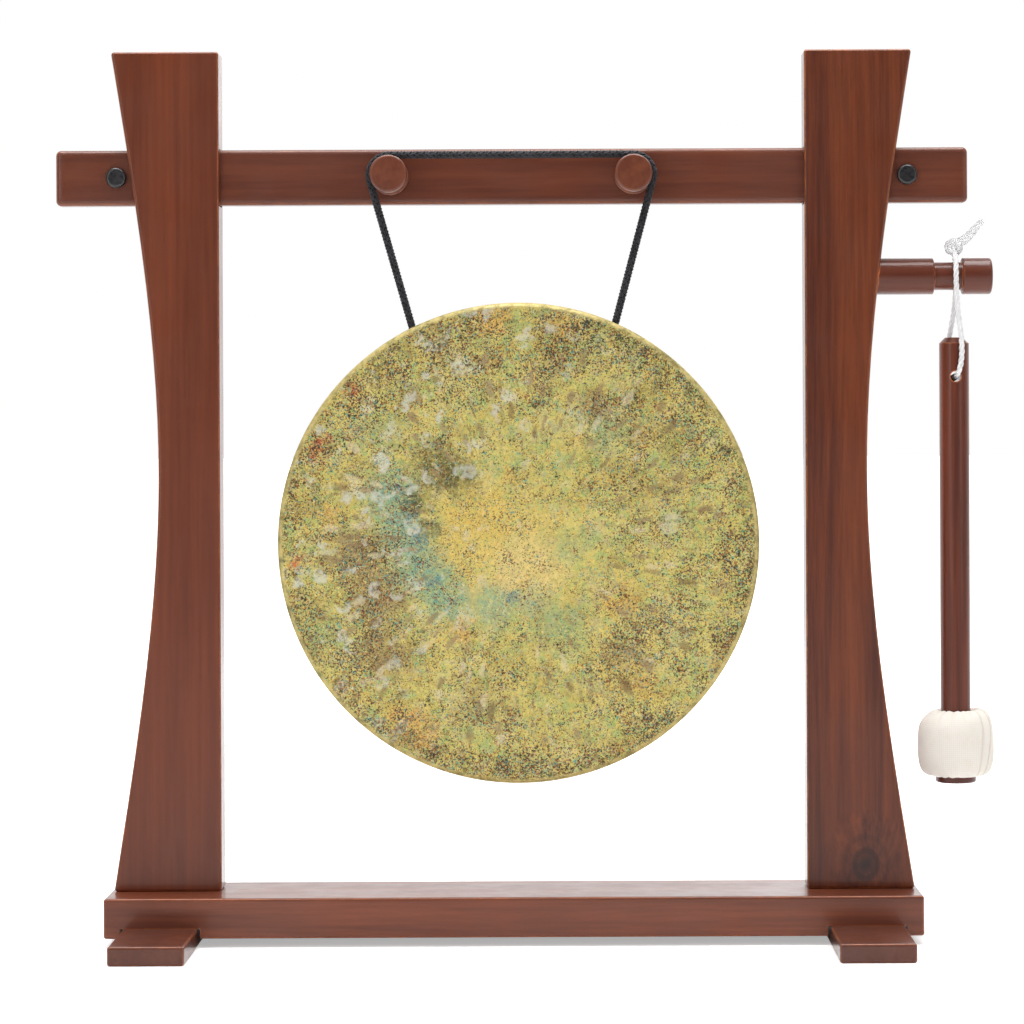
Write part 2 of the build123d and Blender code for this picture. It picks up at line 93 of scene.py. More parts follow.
class Tree:
    """Short calls for laying out the nodes of a material, a shared group or the world."""

    def __init__(self, tree: bpy.types.NodeTree) -> None:
        """Keeps the node tree that the calls add to."""
        self.tree = tree

    def add(self, kind: str, **settings: object) -> bpy.types.Node:
        """Adds a node and sets its plain properties.

        Args:
            kind: The node's type, without the leading ShaderNode.
            settings: Properties of the node.

        Returns:
            The new node.
        """
        node = self.tree.nodes.new("ShaderNode" + kind)
        for name, value in settings.items():
            setattr(node, name, value)
        return node

    def feed(self, socket: bpy.types.NodeSocket, value: object) -> None:
        """Links a socket or sets its own value."""
        if isinstance(value, bpy.types.NodeSocket):
            self.tree.links.new(value, socket)
        elif value is not None:
            socket.default_value = value

    def math(self, operation: str, *values: object, clamp: bool = False) -> bpy.types.NodeSocket:
        """A Math node's result."""
        node = self.add("Math", operation=operation, use_clamp=clamp)
        for socket, value in zip(node.inputs, values):
            self.feed(socket, value)
        return node.outputs[0]

    def times(self, first: object, second: object) -> bpy.types.NodeSocket:
        """The first value times the second."""
        return self.math("MULTIPLY", first, second)

    def plus(self, first: object, second: object) -> bpy.types.NodeSocket:
        """The two values added."""
        return self.math("ADD", first, second)

    def minus(self, first: object, second: object) -> bpy.types.NodeSocket:
        """The first value less the second."""
        return self.math("SUBTRACT", first, second)

    def vector(self, operation: str, *values: object) -> bpy.types.Node:
        """A Vector Math node with its inputs fed."""
        node = self.add("VectorMath", operation=operation)
        for socket, value in zip(node.inputs, values):
            self.feed(socket, value)
        return node

    def mix(self, factor: object, first: object, second: object, blend: str = "MIX") -> bpy.types.NodeSocket:
        """Two colours mixed by a factor."""
        node = self.add("Mix", data_type="RGBA", blend_type=blend)
        self.feed(node.inputs[0], factor)
        self.feed(node.inputs[6], first)
        self.feed(node.inputs[7], second)
        return node.outputs[2]

    def noise(
        self, vector: object, size: float, detail: float = 2.0, rough: float = 0.5, swirl: float = 0.0
    ) -> bpy.types.NodeSocket:
        """Noise whose features are about that size.

        Args:
            vector: The coordinates.
            size: Feature size in the coordinates' own unit.
            detail: Octaves of finer noise.
            rough: Weight of the finer octaves.
            swirl: Distortion.

        Returns:
            The noise, mostly from 0.3 to 0.7.
        """
        node = self.add("TexNoise")
        self.feed(node.inputs["Vector"], vector)
        node.inputs["Scale"].default_value = 1 / size
        node.inputs["Detail"].default_value = detail
        node.inputs["Roughness"].default_value = rough
        node.inputs["Distortion"].default_value = swirl
        return node.outputs[0]

    def span(
        self,
        value: object,
        low: float,
        high: float,
        to: tuple[float, float] = (0.0, 1.0),
    ) -> bpy.types.NodeSocket:
        """A value carried smoothly from one range to another, and held at its ends.

        Args:
            value: The value to carry over.
            low: Where the first result is reached.
            high: Where the second result is reached.
            to: The two results.

        Returns:
            The value carried over and held between the two results.
        """
        node = self.add("MapRange", interpolation_type="SMOOTHSTEP")
        self.feed(node.inputs["Value"], value)
        node.inputs["From Min"].default_value, node.inputs["From Max"].default_value = low, high
        node.inputs["To Min"].default_value, node.inputs["To Max"].default_value = to
        return node.outputs[0]

    def ramp(self, factor: object, stops: Sequence[tuple[float, Colour]]) -> bpy.types.NodeSocket:
        """A colour ramp with the given stops.

        Args:
            factor: Place along the ramp.
            stops: Places with their colours.

        Returns:
            The colour.
        """
        node = self.add("ValToRGB")
        elements = node.color_ramp.elements
        while len(elements) < len(stops):
            elements.new(0.5)
        for element, (place, colour) in zip(elements, stops):
            element.position, element.color = place, colour
        self.feed(node.inputs[0], factor)
        return node.outputs[0]

    def place(
        self,
        vector: object,
        centre: Point = (0, 0, 0),
        turn: Point = (0, 0, 0),
        scale: Point = (1, 1, 1),
    ) -> bpy.types.NodeSocket:
        """Coordinates moved so that centre is their zero, then scaled and turned.

        Args:
            vector: The coordinates.
            centre: The point that becomes zero.
            turn: Rotation in degrees.
            scale: Scale along each axis.

        Returns:
            The Mapping node's output.
        """
        node = self.add("Mapping")
        self.feed(node.inputs["Vector"], vector)
        rotation = Euler([math.radians(a) for a in turn])
        node.inputs["Rotation"].default_value = rotation
        node.inputs["Scale"].default_value = scale
        scaled = Vector([-c * s for c, s in zip(centre, scale)])
        node.inputs["Location"].default_value = rotation.to_matrix() @ scaled
        return node.outputs[0]

    def bump(
        self,
        height: object,
        distance: float,
        strength: float = 1.0,
        normal: object = None,
    ) -> bpy.types.NodeSocket:
        """A normal bent by a height in metres times distance.

        Args:
            height: Height at each point.
            distance: Height in metres at a value of 1.
            strength: Share of the effect.
            normal: A normal to build on.

        Returns:
            The normal.
        """
        node = self.add("Bump")
        node.inputs["Strength"].default_value = strength
        node.inputs["Distance"].default_value = distance
        self.feed(node.inputs["Height"], height)
        self.feed(node.inputs["Normal"], normal)
        return node.outputs[0]


class Group(Tree):
    """A shared effect as a node group with named inputs and outputs."""

    def __init__(self, name: str, inputs: dict[str, str], outputs: dict[str, str], defaults: dict[str, float]) -> None:
        """Makes the group's sockets.

        Args:
            name: The group's name.
            inputs: Socket name to Float, Vector or Color.
            outputs: The same for what it puts out.
            defaults: Starting values of the float inputs.
        """
        super().__init__(bpy.data.node_groups.new(name, "ShaderNodeTree"))
        for side, sockets in (("INPUT", inputs), ("OUTPUT", outputs)):
            for label, kind in sockets.items():
                socket = self.tree.interface.new_socket(label, in_out=side, socket_type="NodeSocket" + kind)
                if side == "INPUT" and label in defaults:
                    socket.default_value = defaults[label]
        self.given = self.tree.nodes.new("NodeGroupInput").outputs
        self.out = self.tree.nodes.new("NodeGroupOutput").inputs


class Shared(Enum):
    """The effects that more than one finish uses."""

    EDGE_WEAR = "edge_wear"
    STRAIGHT_GRAIN = "straight_grain"
    SPECKLE = "speckle"
    FIBRES = "fibres"
    ROUNDED_EDGE = "rounded_edge"

    def use(self, tree: Tree, **values: object) -> bpy.types.Node:
        """Places the group in a material with its own values.

        Args:
            tree: The material's tree.
            values: A value or socket for each input, with _ for a space.

        Returns:
            The group node.
        """
        node = tree.tree.nodes.new("ShaderNodeGroup")
        node.node_tree = bpy.data.node_groups[self.value]
        for name, value in values.items():
            tree.feed(node.inputs[name.replace("_", " ")], value)
        return node


def build_shared_groups() -> None:
    """Builds every shared node group once."""
    wear = Group(
        Shared.EDGE_WEAR.value,
        {"Vector": "Vector", "Radius": "Float", "Amount": "Float"},
        {"Wear": "Float"},
        {"Radius": 1.2 * MM, "Amount": 1.0},
    )
    rounded = wear.add("Bevel", samples=6)
    wear.feed(rounded.inputs["Radius"], wear.given["Radius"])
    geometry = wear.add("NewGeometry")
    alike = wear.vector("DOT_PRODUCT", rounded.outputs[0], geometry.outputs["True Normal"]).outputs["Value"]
    patchy = wear.span(wear.noise(wear.given["Vector"], 7 * MM, 4, 0.6), 0.34, 0.6, (0.35, 1.0))
    edge = wear.math("MULTIPLY", wear.span(wear.math("SUBTRACT", 1.0, alike), 0.03, 0.16), patchy)
    wear.feed(wear.out["Wear"], wear.math("MULTIPLY", edge, wear.given["Amount"], clamp=True))

    rubbed = Group(
        Shared.ROUNDED_EDGE.value, {"Vector": "Vector", "Amount": "Float"}, {"Wear": "Float"}, {"Amount": 1.0}
    )
    sides = rubbed.add("SeparateXYZ")
    facing = rubbed.vector("ABSOLUTE", rubbed.add("NewGeometry").outputs["Normal"]).outputs[0]
    rubbed.feed(sides.inputs[0], facing)
    squarest = rubbed.math("MAXIMUM", rubbed.math("MAXIMUM", sides.outputs[0], sides.outputs[1]), sides.outputs[2])
    turned = rubbed.span(squarest, 0.93, 0.76)
    uneven = rubbed.span(rubbed.noise(rubbed.given["Vector"], 11 * MM, 4, 0.65), 0.4, 0.62, (0.25, 0.9))
    rubbed.feed(
        rubbed.out["Wear"],
        rubbed.math("MULTIPLY", rubbed.math("MULTIPLY", turned, uneven), rubbed.given["Amount"], clamp=True),
    )

    grain = Group(
        Shared.STRAIGHT_GRAIN.value,
        {"Vector": "Vector", "Waviness": "Float"},
        {"Streaks": "Float", "Bands": "Float", "Pores": "Float"},
        {"Waviness": 1.0},
    )
    drift = grain.add("TexNoise")
    grain.feed(drift.inputs["Vector"], grain.vector("MULTIPLY", grain.given["Vector"], (1, 1, 2.5)).outputs[0])
    drift.inputs["Scale"].default_value = 14
    sway = grain.vector("SUBTRACT", drift.outputs["Color"], (0.5, 0.5, 0.5)).outputs[0]
    pushed = grain.vector("SCALE", sway)
    grain.feed(pushed.inputs["Scale"], grain.math("MULTIPLY", grain.given["Waviness"], 9 * MM))
    bent = grain.vector("ADD", grain.given["Vector"], pushed.outputs[0]).outputs[0]
    grain.feed(grain.out["Streaks"], grain.noise(bent, 2.4 * MM, 3, 0.6))
    grain.feed(grain.out["Bands"], grain.noise(bent, 11 * MM, 2, 0.45, 0.3))
    grain.feed(grain.out["Pores"], grain.noise(grain.given["Vector"], 0.45 * MM, 2, 0.7))

    speckle = Group(
        Shared.SPECKLE.value,
        {"Vector": "Vector", "Size": "Float", "Cover": "Float"},
        {"Mask": "Float"},
        {"Size": 1.0, "Cover": 0.3},
    )
    dots = speckle.add("TexNoise")
    speckle.feed(dots.inputs["Vector"], speckle.given["Vector"])
    speckle.feed(dots.inputs["Scale"], speckle.math("DIVIDE", 1.0, speckle.given["Size"]))
    dots.inputs["Detail"].default_value, dots.inputs["Roughness"].default_value = 2.5, 0.62
    cut = speckle.math("SUBTRACT", 0.72, speckle.math("MULTIPLY", speckle.given["Cover"], 0.3))
    above = speckle.math("MULTIPLY", speckle.math("SUBTRACT", dots.outputs[0], cut), 18.0, clamp=True)
    speckle.feed(speckle.out["Mask"], above)

    fibres = Group(
        Shared.FIBRES.value,
        {"Vector": "Vector", "Size": "Float"},
        {"Height": "Float", "Shade": "Float"},
        {"Size": 0.3 * MM},
    )
    hairs = fibres.add("TexNoise")
    fibres.feed(hairs.inputs["Vector"], fibres.given["Vector"])
    fibres.feed(hairs.inputs["Scale"], fibres.math("DIVIDE", 1.0, fibres.given["Size"]))
    hairs.inputs["Detail"].default_value, hairs.inputs["Roughness"].default_value = 3.0, 0.7
    fibres.feed(fibres.out["Height"], hairs.outputs[0])
    fibres.feed(fibres.out["Shade"], fibres.noise(fibres.given["Vector"], 5 * MM, 3, 0.6))


# ---------------------------------------------------------------- finishes


class Grain(Enum):
    """The direction that a board's grain runs in."""

    ALONG_LENGTH = (0.045, 1.0, 1.0)
    ALONG_DEPTH = (1.0, 0.045, 1.0)
    UPRIGHT = (1.0, 1.0, 0.035)


def start_material(name: str) -> tuple[bpy.types.Material, Tree, bpy.types.Node, bpy.types.NodeSocket]:
    """A new material with only its Principled shader and Object coordinates.

    Args:
        name: The material's name.

    Returns:
        The material, its tree, the shader node and the coordinates.
    """
    material = bpy.data.materials.new(name)
    material.use_nodes = True
    tree = Tree(material.node_tree)
    shader = material.node_tree.nodes["Principled BSDF"]
    return material, tree, shader, tree.add("TexCoord").outputs["Object"]


@dataclass(frozen=True)
class LacqueredWood:
    """Stained hardwood under a satin lacquer, with its grain, rubbed edges and knot."""

    name: str
    grain: Grain
    centre: Point
    light: Colour = tone(114, 58, 38)
    dark: Colour = tone(70, 31, 21)
    edge: Colour = tone(176, 98, 52)
    grey: Colour = tone(100, 68, 60)
    figure: float = 0.5
    waviness: float = 1.0
    wear: float = 0.75
    haze: float = 0.25
    gloss: float = 0.34
    polish: float = 0.12
    square: bool = False
    soften: float = 0.0
    knot: Point | None = None

    def material(self) -> bpy.types.Material:
        """The wood as a material.

        Returns:
            The material.
        """
        made, tree, shader, place = start_material(self.name)
        along = tree.place(place, self.centre, scale=self.grain.value)
        if self.knot is not None:
            level = tree.vector("MULTIPLY", place, (1, 0.3, 0.8)).outputs[0]
            middle = (self.knot[0], 0.3 * self.knot[1], 0.8 * self.knot[2])
            near = tree.vector("DISTANCE", level, middle).outputs["Value"]
            pull = tree.span(near, 0.0, 26 * MM, (1.0, 0.0))
            aside = tree.vector("SCALE", tree.vector("SUBTRACT", place, self.knot).outputs[0])
            tree.feed(aside.inputs["Scale"], tree.times(pull, 0.8))
            along = tree.vector("ADD", along, aside.outputs[0]).outputs[0]
        lines = Shared.STRAIGHT_GRAIN.use(tree, Vector=along, Waviness=self.waviness)
        streaks = tree.span(lines.outputs["Streaks"], 0.34, 0.68)
        bands = tree.span(lines.outputs["Bands"], 0.36, 0.64)
        both = tree.plus(tree.times(streaks, 0.45), tree.times(bands, 0.55))
        colour = tree.mix(tree.times(both, self.figure), self.light, self.dark)
        cloud = tree.span(tree.noise(place, 60 * MM, 3, 0.55), 0.36, 0.66)
        colour = tree.mix(tree.times(cloud, self.haze), colour, self.grey)
        pores = tree.span(lines.outputs["Pores"], 0.56, 0.72)
        colour = tree.mix(tree.times(pores, 0.3 * self.figure), colour, tone(52, 24, 17))
        if self.knot is not None:
            rings = tree.math("SINE", tree.times(near, 1150.0))
            ringed = tree.times(tree.span(near, 3 * MM, 19 * MM, (0.8, 0.0)), tree.span(rings, -0.6, 1))
            colour = tree.mix(ringed, colour, tone(54, 25, 18))
            colour = tree.mix(tree.span(near, 2.0 * MM, 8.5 * MM, (0.95, 0.0)), colour, tone(34, 15, 12))
        worn = Shared.EDGE_WEAR.use(tree, Vector=place, Radius=1.5 * MM, Amount=self.wear).outputs["Wear"]
        if self.square:
            rubbed = Shared.ROUNDED_EDGE.use(tree, Vector=place, Amount=self.wear).outputs["Wear"]
            worn = tree.math("MAXIMUM", worn, rubbed)
        colour = tree.mix(worn, colour, self.edge)
        tree.feed(shader.inputs["Base Color"], colour)
        smear = tree.span(tree.noise(place, 24 * MM, 4, 0.6), 0.3, 0.7, (self.gloss - 0.05, self.gloss + 0.08))
        tree.feed(shader.inputs["Roughness"], smear)
        height = tree.plus(tree.times(pores, -0.5), tree.times(streaks, 0.3))
        softened = None
        if self.soften:
            rounding = tree.add("Bevel", samples=8)
            rounding.inputs["Radius"].default_value = self.soften
            softened = rounding.outputs[0]
        tree.feed(shader.inputs["Normal"], tree.bump(height, 0.06 * MM, 0.5, softened))
        shader.inputs["Specular IOR Level"].default_value = 0.25
        shader.inputs["Coat Weight"].default_value = 0.7
        shader.inputs["Coat IOR"].default_value = 1.32
        shader.inputs["Coat Roughness"].default_value = self.polish
        return made


@dataclass(frozen=True)
class Blotch:
    """A patch of colour on the gong's face, by its place from the centre in millimetres."""

    across: float
    up: float
    radius: float
    colour: Colour
    strength: float = 0.8


TEAL = tone(112, 168, 146)
BLUE = tone(56, 118, 138)
OLIVE = tone(66, 68, 30)
BROWN = tone(134, 104, 74)
ORANGE = tone(236, 166, 74)
RED = tone(214, 82, 40)
CHALK = tone(218, 220, 204)
GOLD = tone(234, 198, 104)

BLOTCHES = (
    Blotch(-10, -2, 46, GOLD, 0.6),
    Blotch(-22, 14, 20, tone(236, 194, 90), 0.5),
    Blotch(6, -12, 24, tone(236, 212, 146), 0.65),
    Blotch(-66, 26, 17, TEAL, 0.92),
    Blotch(-61, 6, 17, TEAL, 0.92),
    Blotch(-52, -14, 18, TEAL, 0.95),
    Blotch(-38, -29, 15, TEAL, 0.85),
    Blotch(-14, -33, 15, TEAL, 0.7),
    Blotch(8, -30, 11, TEAL, 0.6),
    Blotch(-72, 58, 13, tone(120, 158, 110), 0.6),
    Blotch(26, -2, 11, tone(110, 160, 120), 0.45),
    Blotch(46, 58, 15, tone(128, 166, 118), 0.65),
    Blotch(24, -44, 17, tone(128, 168, 120), 0.65),
    Blotch(-104, -44, 14, tone(120, 160, 110), 0.45),
    Blotch(84, 12, 9, tone(90, 150, 120), 0.5),
    Blotch(-63, 30, 4.5, BLUE, 0.8),
    Blotch(-57, 13, 6, BLUE, 0.8),
    Blotch(-53, 3, 5, BLUE, 0.85),
    Blotch(-3, -29, 5.5, BLUE, 0.8),
    Blotch(-46, -20, 4.5, BLUE, 0.7),
    Blotch(-43, 41, 17, OLIVE, 0.9),
    Blotch(-31, 34, 12, OLIVE, 0.8),
    Blotch(-54, 22, 9.5, tone(50, 56, 26), 0.95),
    Blotch(-24, 36, 6, OLIVE, 0.6),
    Blotch(-47, 9, 6, OLIVE, 0.75),
    Blotch(84, 52, 13, tone(120, 118, 36), 0.6),
    Blotch(66, 78, 12, tone(130, 124, 40), 0.5),
    Blotch(-84, -6, 19, BROWN, 0.85),
    Blotch(-74, -28, 18, BROWN, 0.85),
    Blotch(-70, -58, 17, BROWN, 0.75),
    Blotch(42, 72, 10, BROWN, 0.75),
    Blotch(66, 62, 8, BROWN, 0.6),
    Blotch(78, 30, 10, BROWN, 0.5),
    Blotch(20, 96, 9, BROWN, 0.4),
    Blotch(52, -56, 9, BROWN, 0.5),
    Blotch(-20, -84, 16, BROWN, 0.35),
    Blotch(-72, 45, 6.5, CHALK, 0.75),
    Blotch(-67, 60, 5.5, CHALK, 0.7),
    Blotch(-78, 73, 5.5, CHALK, 0.7),
    Blotch(-86, 28, 6, CHALK, 0.55),
    Blotch(-24, 92, 6, CHALK, 0.6),
    Blotch(-4, 78, 5, CHALK, 0.5),
    Blotch(-54, -22, 5.5, CHALK, 0.6),
    Blotch(-30, -38, 5.5, CHALK, 0.6),
    Blotch(-110, 46, 5, CHALK, 0.5),
    Blotch(-14, 118, 12, ORANGE, 0.55),
    Blotch(22, 114, 10, ORANGE, 0.45),
    Blotch(-52, -97, 13, ORANGE, 0.55),
    Blotch(-62, -90, 8, ORANGE, 0.5),
    Blotch(-33, -45, 9, ORANGE, 0.45),
    Blotch(54, -30, 12, ORANGE, 0.4),
    Blotch(62, -76, 11, ORANGE, 0.35),
    Blotch(-98, 16, 9, ORANGE, 0.5),
    Blotch(-88, 82, 4.5, RED, 0.95),
    Blotch(-105, 54, 5, RED, 0.9),
    Blotch(-107, 47, 3.5, RED, 0.85),
    Blotch(-117, -9, 4, RED, 0.9),
    Blotch(-96, -76, 4.5, tone(170, 74, 44), 0.7),
)


@dataclass(frozen=True)
class GongPatina:
    """Heat-marked bronze: yellow-green oxide under brown strokes, teal and chalk patches and dark specks."""

    name: str
    centre: Point
    radius: float

    def material(self) -> bpy.types.Material:
        """The patina as a material, in millimetres from the face's centre.

        Returns:
            The material.
        """
        made, tree, shader, place = start_material(self.name)
        flat = tree.place(place, self.centre, scale=(1000, 1000, 1000))
        wobble = tree.add("TexNoise")
        tree.feed(wobble.inputs["Vector"], flat)
        wobble.inputs["Scale"].default_value, wobble.inputs["Detail"].default_value = 1 / 9, 4
        wobble.inputs["Roughness"].default_value = 0.78
        shift = tree.vector("SCALE", tree.vector("SUBTRACT", wobble.outputs["Color"], (0.5, 0.5, 0.5)).outputs[0])
        shift.inputs["Scale"].default_value = 26
        ragged = tree.vector("ADD", flat, shift.outputs[0]).outputs[0]
        parts = tree.add("SeparateXYZ")
        tree.feed(parts.inputs[0], flat)
        out = tree.math(
            "SQRT",
            tree.plus(tree.math("POWER", parts.outputs[0], 2.0), tree.math("POWER", parts.outputs[2], 2.0)),
        )
        ray = tree.vector("NORMALIZE", tree.vector("MULTIPLY", flat, (1, 0, 1)).outputs[0]).outputs[0]
        polar = tree.add("CombineXYZ")
        ray_parts = tree.add("SeparateXYZ")
        tree.feed(ray_parts.inputs[0], ray)
        tree.feed(polar.inputs[0], tree.times(ray_parts.outputs[0], 30.0))
        tree.feed(polar.inputs[1], tree.times(ray_parts.outputs[2], 30.0))
        tree.feed(polar.inputs[2], tree.times(out, 0.14))

        colour = tree.ramp(
            tree.noise(flat, 24, 6, 0.68, 0.4),
            [
                (0.30, tone(172, 150, 78)),
                (0.44, tone(200, 184, 96)),
                (0.55, tone(216, 200, 110)),
                (0.68, tone(202, 192, 130)),
            ],
        )
        warm = tree.span(tree.noise(tree.place(flat, (90, 0, 40)), 10, 6, 0.78, 0.6), 0.5, 0.66, (0.0, 0.6))
        colour = tree.mix(warm, colour, tone(226, 182, 92))
        green = tree.span(tree.noise(tree.place(flat, (-70, 0, 80)), 8, 6, 0.78, 0.5), 0.47, 0.62, (0.0, 0.85))
        colour = tree.mix(green, colour, tone(166, 188, 110))
        grey = tree.span(tree.noise(tree.place(flat, (21, 0, -33)), 6, 6, 0.8, 0.5), 0.5, 0.64, (0.0, 0.65))
        colour = tree.mix(grey, colour, tone(188, 176, 138))
        torn = tree.span(tree.noise(tree.place(flat, (44, 0, 13)), 2.4, 4, 0.78), 0.38, 0.6, (0.35, 1.0))
        for blotch in BLOTCHES:
            colour = self.blotch(tree, ragged, torn, colour, blotch)
        strokes = tree.noise(polar.outputs[0], 1.5, 5, 0.7, 0.6)
        dusky = tree.times(
            tree.span(strokes, 0.5, 0.62), tree.span(tree.noise(flat, 11, 5, 0.75), 0.46, 0.62),
        )
        colour = tree.mix(tree.times(dusky, tree.span(out, 20, 60, (0.25, 0.6))), colour, tone(140, 122, 72))
        patch = tree.span(tree.noise(tree.place(flat, (15, 0, -60)), 30, 3, 0.6), 0.46, 0.62)
        ring = tree.times(tree.span(out, 34, 62), tree.span(out, 96, 124, (1.0, 0.25)))
        brown = tree.times(tree.times(tree.span(strokes, 0.55, 0.7), patch), ring)
        colour = tree.mix(tree.times(brown, 0.95), colour, tone(128, 100, 66))
        pale = tree.times(tree.span(strokes, 0.44, 0.34), tree.span(tree.noise(flat, 18, 3), 0.5, 0.62))
        colour = tree.mix(tree.times(pale, 0.5), colour, tone(226, 212, 160))
        mottle = tree.noise(flat, 1.7, 4, 0.72)
        colour = tree.mix(tree.span(mottle, 0.52, 0.72, (0.0, 0.7)), colour, tone(240, 222, 134))
        colour = tree.mix(tree.span(mottle, 0.46, 0.30, (0.0, 0.7)), colour, tone(132, 104, 52))

        rough_area = tree.span(out, 20, 74, (0.36, 0.50))
        rim_area = tree.span(out, 98, 122, (0.0, 0.10))
        clumps = tree.span(tree.noise(tree.place(flat, (33, 0, 71)), 9, 6, 0.8, 0.5), 0.34, 0.68, (-0.15, 0.17))
        wide = tree.span(tree.noise(tree.place(flat, (-60, 0, 9)), 34, 3, 0.6), 0.36, 0.64, (-0.09, 0.09))
        cover = tree.plus(tree.plus(rough_area, rim_area), tree.plus(clumps, wide))
        for centre, size, share, ink, strength in self.inks():
            colour = self.specks(tree, colour, flat, centre, size, tree.times(cover, share), ink, strength)

        colour = self.strokes(tree, colour, polar.outputs[0], wobble.outputs["Color"], out)
        colour = self.chalk_rings(tree, colour, flat, parts.outputs)
        crack = tree.math("ABSOLUTE", tree.minus(tree.noise(ragged, 13, 3, 0.55), 0.5))
        broken = tree.span(tree.noise(tree.place(flat, (8, 0, 81)), 8, 4, 0.7), 0.5, 0.6)
        colour = tree.mix(tree.times(tree.span(crack, 0.012, 0.003), broken), colour, tone(58, 52, 26))
        smudge = tree.times(
            tree.span(tree.noise(tree.place(flat, (5, 0, 50)), 5, 4, 0.72), 0.52, 0.68),
            tree.span(out, 112, 122, (0.0, 0.8)),
        )
        colour = tree.mix(smudge, colour, tone(66, 66, 34))
        lip = tree.span(out, self.radius * 1000 - 3.4, self.radius * 1000 - 1.6)
        lip_tone = tree.ramp(
            tree.noise(flat, 6, 4, 0.7),
            [(0.35, tone(140, 128, 70)), (0.52, tone(206, 188, 120)), (0.7, tone(226, 206, 134))],
        )
        colour = tree.mix(tree.times(lip, 0.85), colour, lip_tone)
        tree.feed(shader.inputs["Base Color"], colour)

        tree.feed(shader.inputs["Metallic"], tree.span(mottle, 0.36, 0.62, (0.12, 0.42)))
        tree.feed(shader.inputs["Roughness"], tree.span(tree.noise(flat, 7, 4, 0.7), 0.3, 0.7, (0.40, 0.62)))
        dents = tree.plus(tree.times(strokes, 0.6), tree.times(mottle, 0.35))
        tree.feed(shader.inputs["Normal"], tree.bump(dents, 0.35 * MM, 0.55))
        return made

    @staticmethod
    def blotch(tree: Tree, ragged: object, torn: object, colour: object, blotch: Blotch) -> bpy.types.NodeSocket:
        """Lays one patch over the colour.

        Args:
            tree: The material's tree.
            ragged: Coordinates that give the patch a torn edge.
            torn: Mask that breaks the patch up.
            colour: The colour so far.
            blotch: The patch.

        Returns:
            The colour with the patch.
        """
        away = tree.vector(
            "DISTANCE", tree.vector("MULTIPLY", ragged, (1, 0, 1)).outputs[0], (blotch.across, 0, blotch.up),
        )
        mask = tree.span(away.outputs["Value"], blotch.radius * 0.35, blotch.radius * 1.15, (blotch.strength, 0.0))
        return tree.mix(tree.times(mask, torn), colour, blotch.colour)

    @staticmethod
    def strokes(tree: Tree, colour: object, polar: object, wobble: object, out: object) -> bpy.types.NodeSocket:
        """Short radial marks of a beater in brown and pale grey round the face.

        Args:
            tree: The material's tree.
            colour: The colour so far.
            polar: Coordinates round and out from the centre.
            wobble: A noise colour that makes the marks uneven.
            out: Distance from the centre in millimetres.

        Returns:
            The colour with the marks.
        """
        sway = tree.vector("SCALE", wobble)
        sway.inputs["Scale"].default_value = 2.2
        marks = tree.add("TexVoronoi", feature="F1")
        tree.feed(marks.inputs["Vector"], tree.vector("ADD", polar, sway.outputs[0]).outputs[0])
        marks.inputs["Scale"].default_value = 0.52
        kind = tree.add("SeparateColor")
        tree.feed(kind.inputs[0], marks.outputs["Color"])
        inside = tree.times(tree.span(marks.outputs["Distance"], 0.46, 0.2), tree.span(out, 40, 58))
        inside = tree.times(inside, tree.span(out, 100, 118, (1.0, 0.3)))
        dark = tree.times(tree.math("GREATER_THAN", kind.outputs[0], 0.64), inside)
        shade = tree.mix(kind.outputs[1], tone(118, 92, 52), tone(168, 142, 106))
        colour = tree.mix(tree.times(dark, 0.66), colour, shade)
        light = tree.times(tree.math("LESS_THAN", kind.outputs[0], 0.16), inside)
        return tree.mix(tree.times(light, 0.45), colour, tone(226, 212, 176))

    @staticmethod
    def inks() -> tuple[tuple[Point, float, float, Colour, float], ...]:
        """Each set of specks: its shift, size, share of the cover, colour and strength."""
        return (
            ((11, 0, 5), 2.1, 0.80, tone(196, 138, 62), 0.55),
            ((-31, 0, 25), 1.3, 0.84, tone(74, 158, 148), 0.85),
            ((87, 0, -15), 1.6, 0.62, tone(240, 226, 160), 0.6),
            ((61, 0, 65), 1.0, 1.04, tone(138, 70, 36), 0.88),
            ((0, 0, 0), 0.98, 0.99, tone(42, 42, 24), 0.92),
            ((-91, 0, -44), 1.9, 0.46, tone(74, 64, 34), 0.6),
        )

    @staticmethod
    def chalk_rings(tree: Tree, colour: object, flat: object, parts: object) -> bpy.types.NodeSocket:
        """Pale ring-shaped marks over the upper left of the face.

        Args:
            tree: The material's tree.
            colour: The colour so far.
            flat: Coordinates in millimetres.
            parts: Their separate outputs.

        Returns:
            The colour with the marks.
        """
        cells = tree.add("TexVoronoi", feature="F1")
        shaken = tree.vector("SCALE", tree.add("TexNoise").outputs["Color"])
        shaken.inputs["Scale"].default_value = 3.5
        source = shaken.inputs[0].links[0].from_node
        tree.feed(source.inputs["Vector"], flat)
        source.inputs["Scale"].default_value, source.inputs["Detail"].default_value = 0.3, 4
        tree.feed(cells.inputs["Vector"], tree.vector("ADD", flat, shaken.outputs[0]).outputs[0])
        cells.inputs["Scale"].default_value = 1 / 11
        near = cells.outputs["Distance"]
        ring = tree.times(tree.span(near, 0.1, 0.3, (0.4, 1.0)), tree.span(near, 0.46, 0.32))
        some = tree.span(tree.noise(tree.place(flat, (52, 0, 17)), 14, 3, 0.7), 0.5, 0.6)
        side = tree.plus(parts[0], tree.times(parts[2], -0.55))
        upper_left = tree.span(side, 30, -80, (0.08, 0.66))
        mask = tree.times(tree.times(ring, some), upper_left)
        return tree.mix(mask, colour, tone(214, 214, 198))

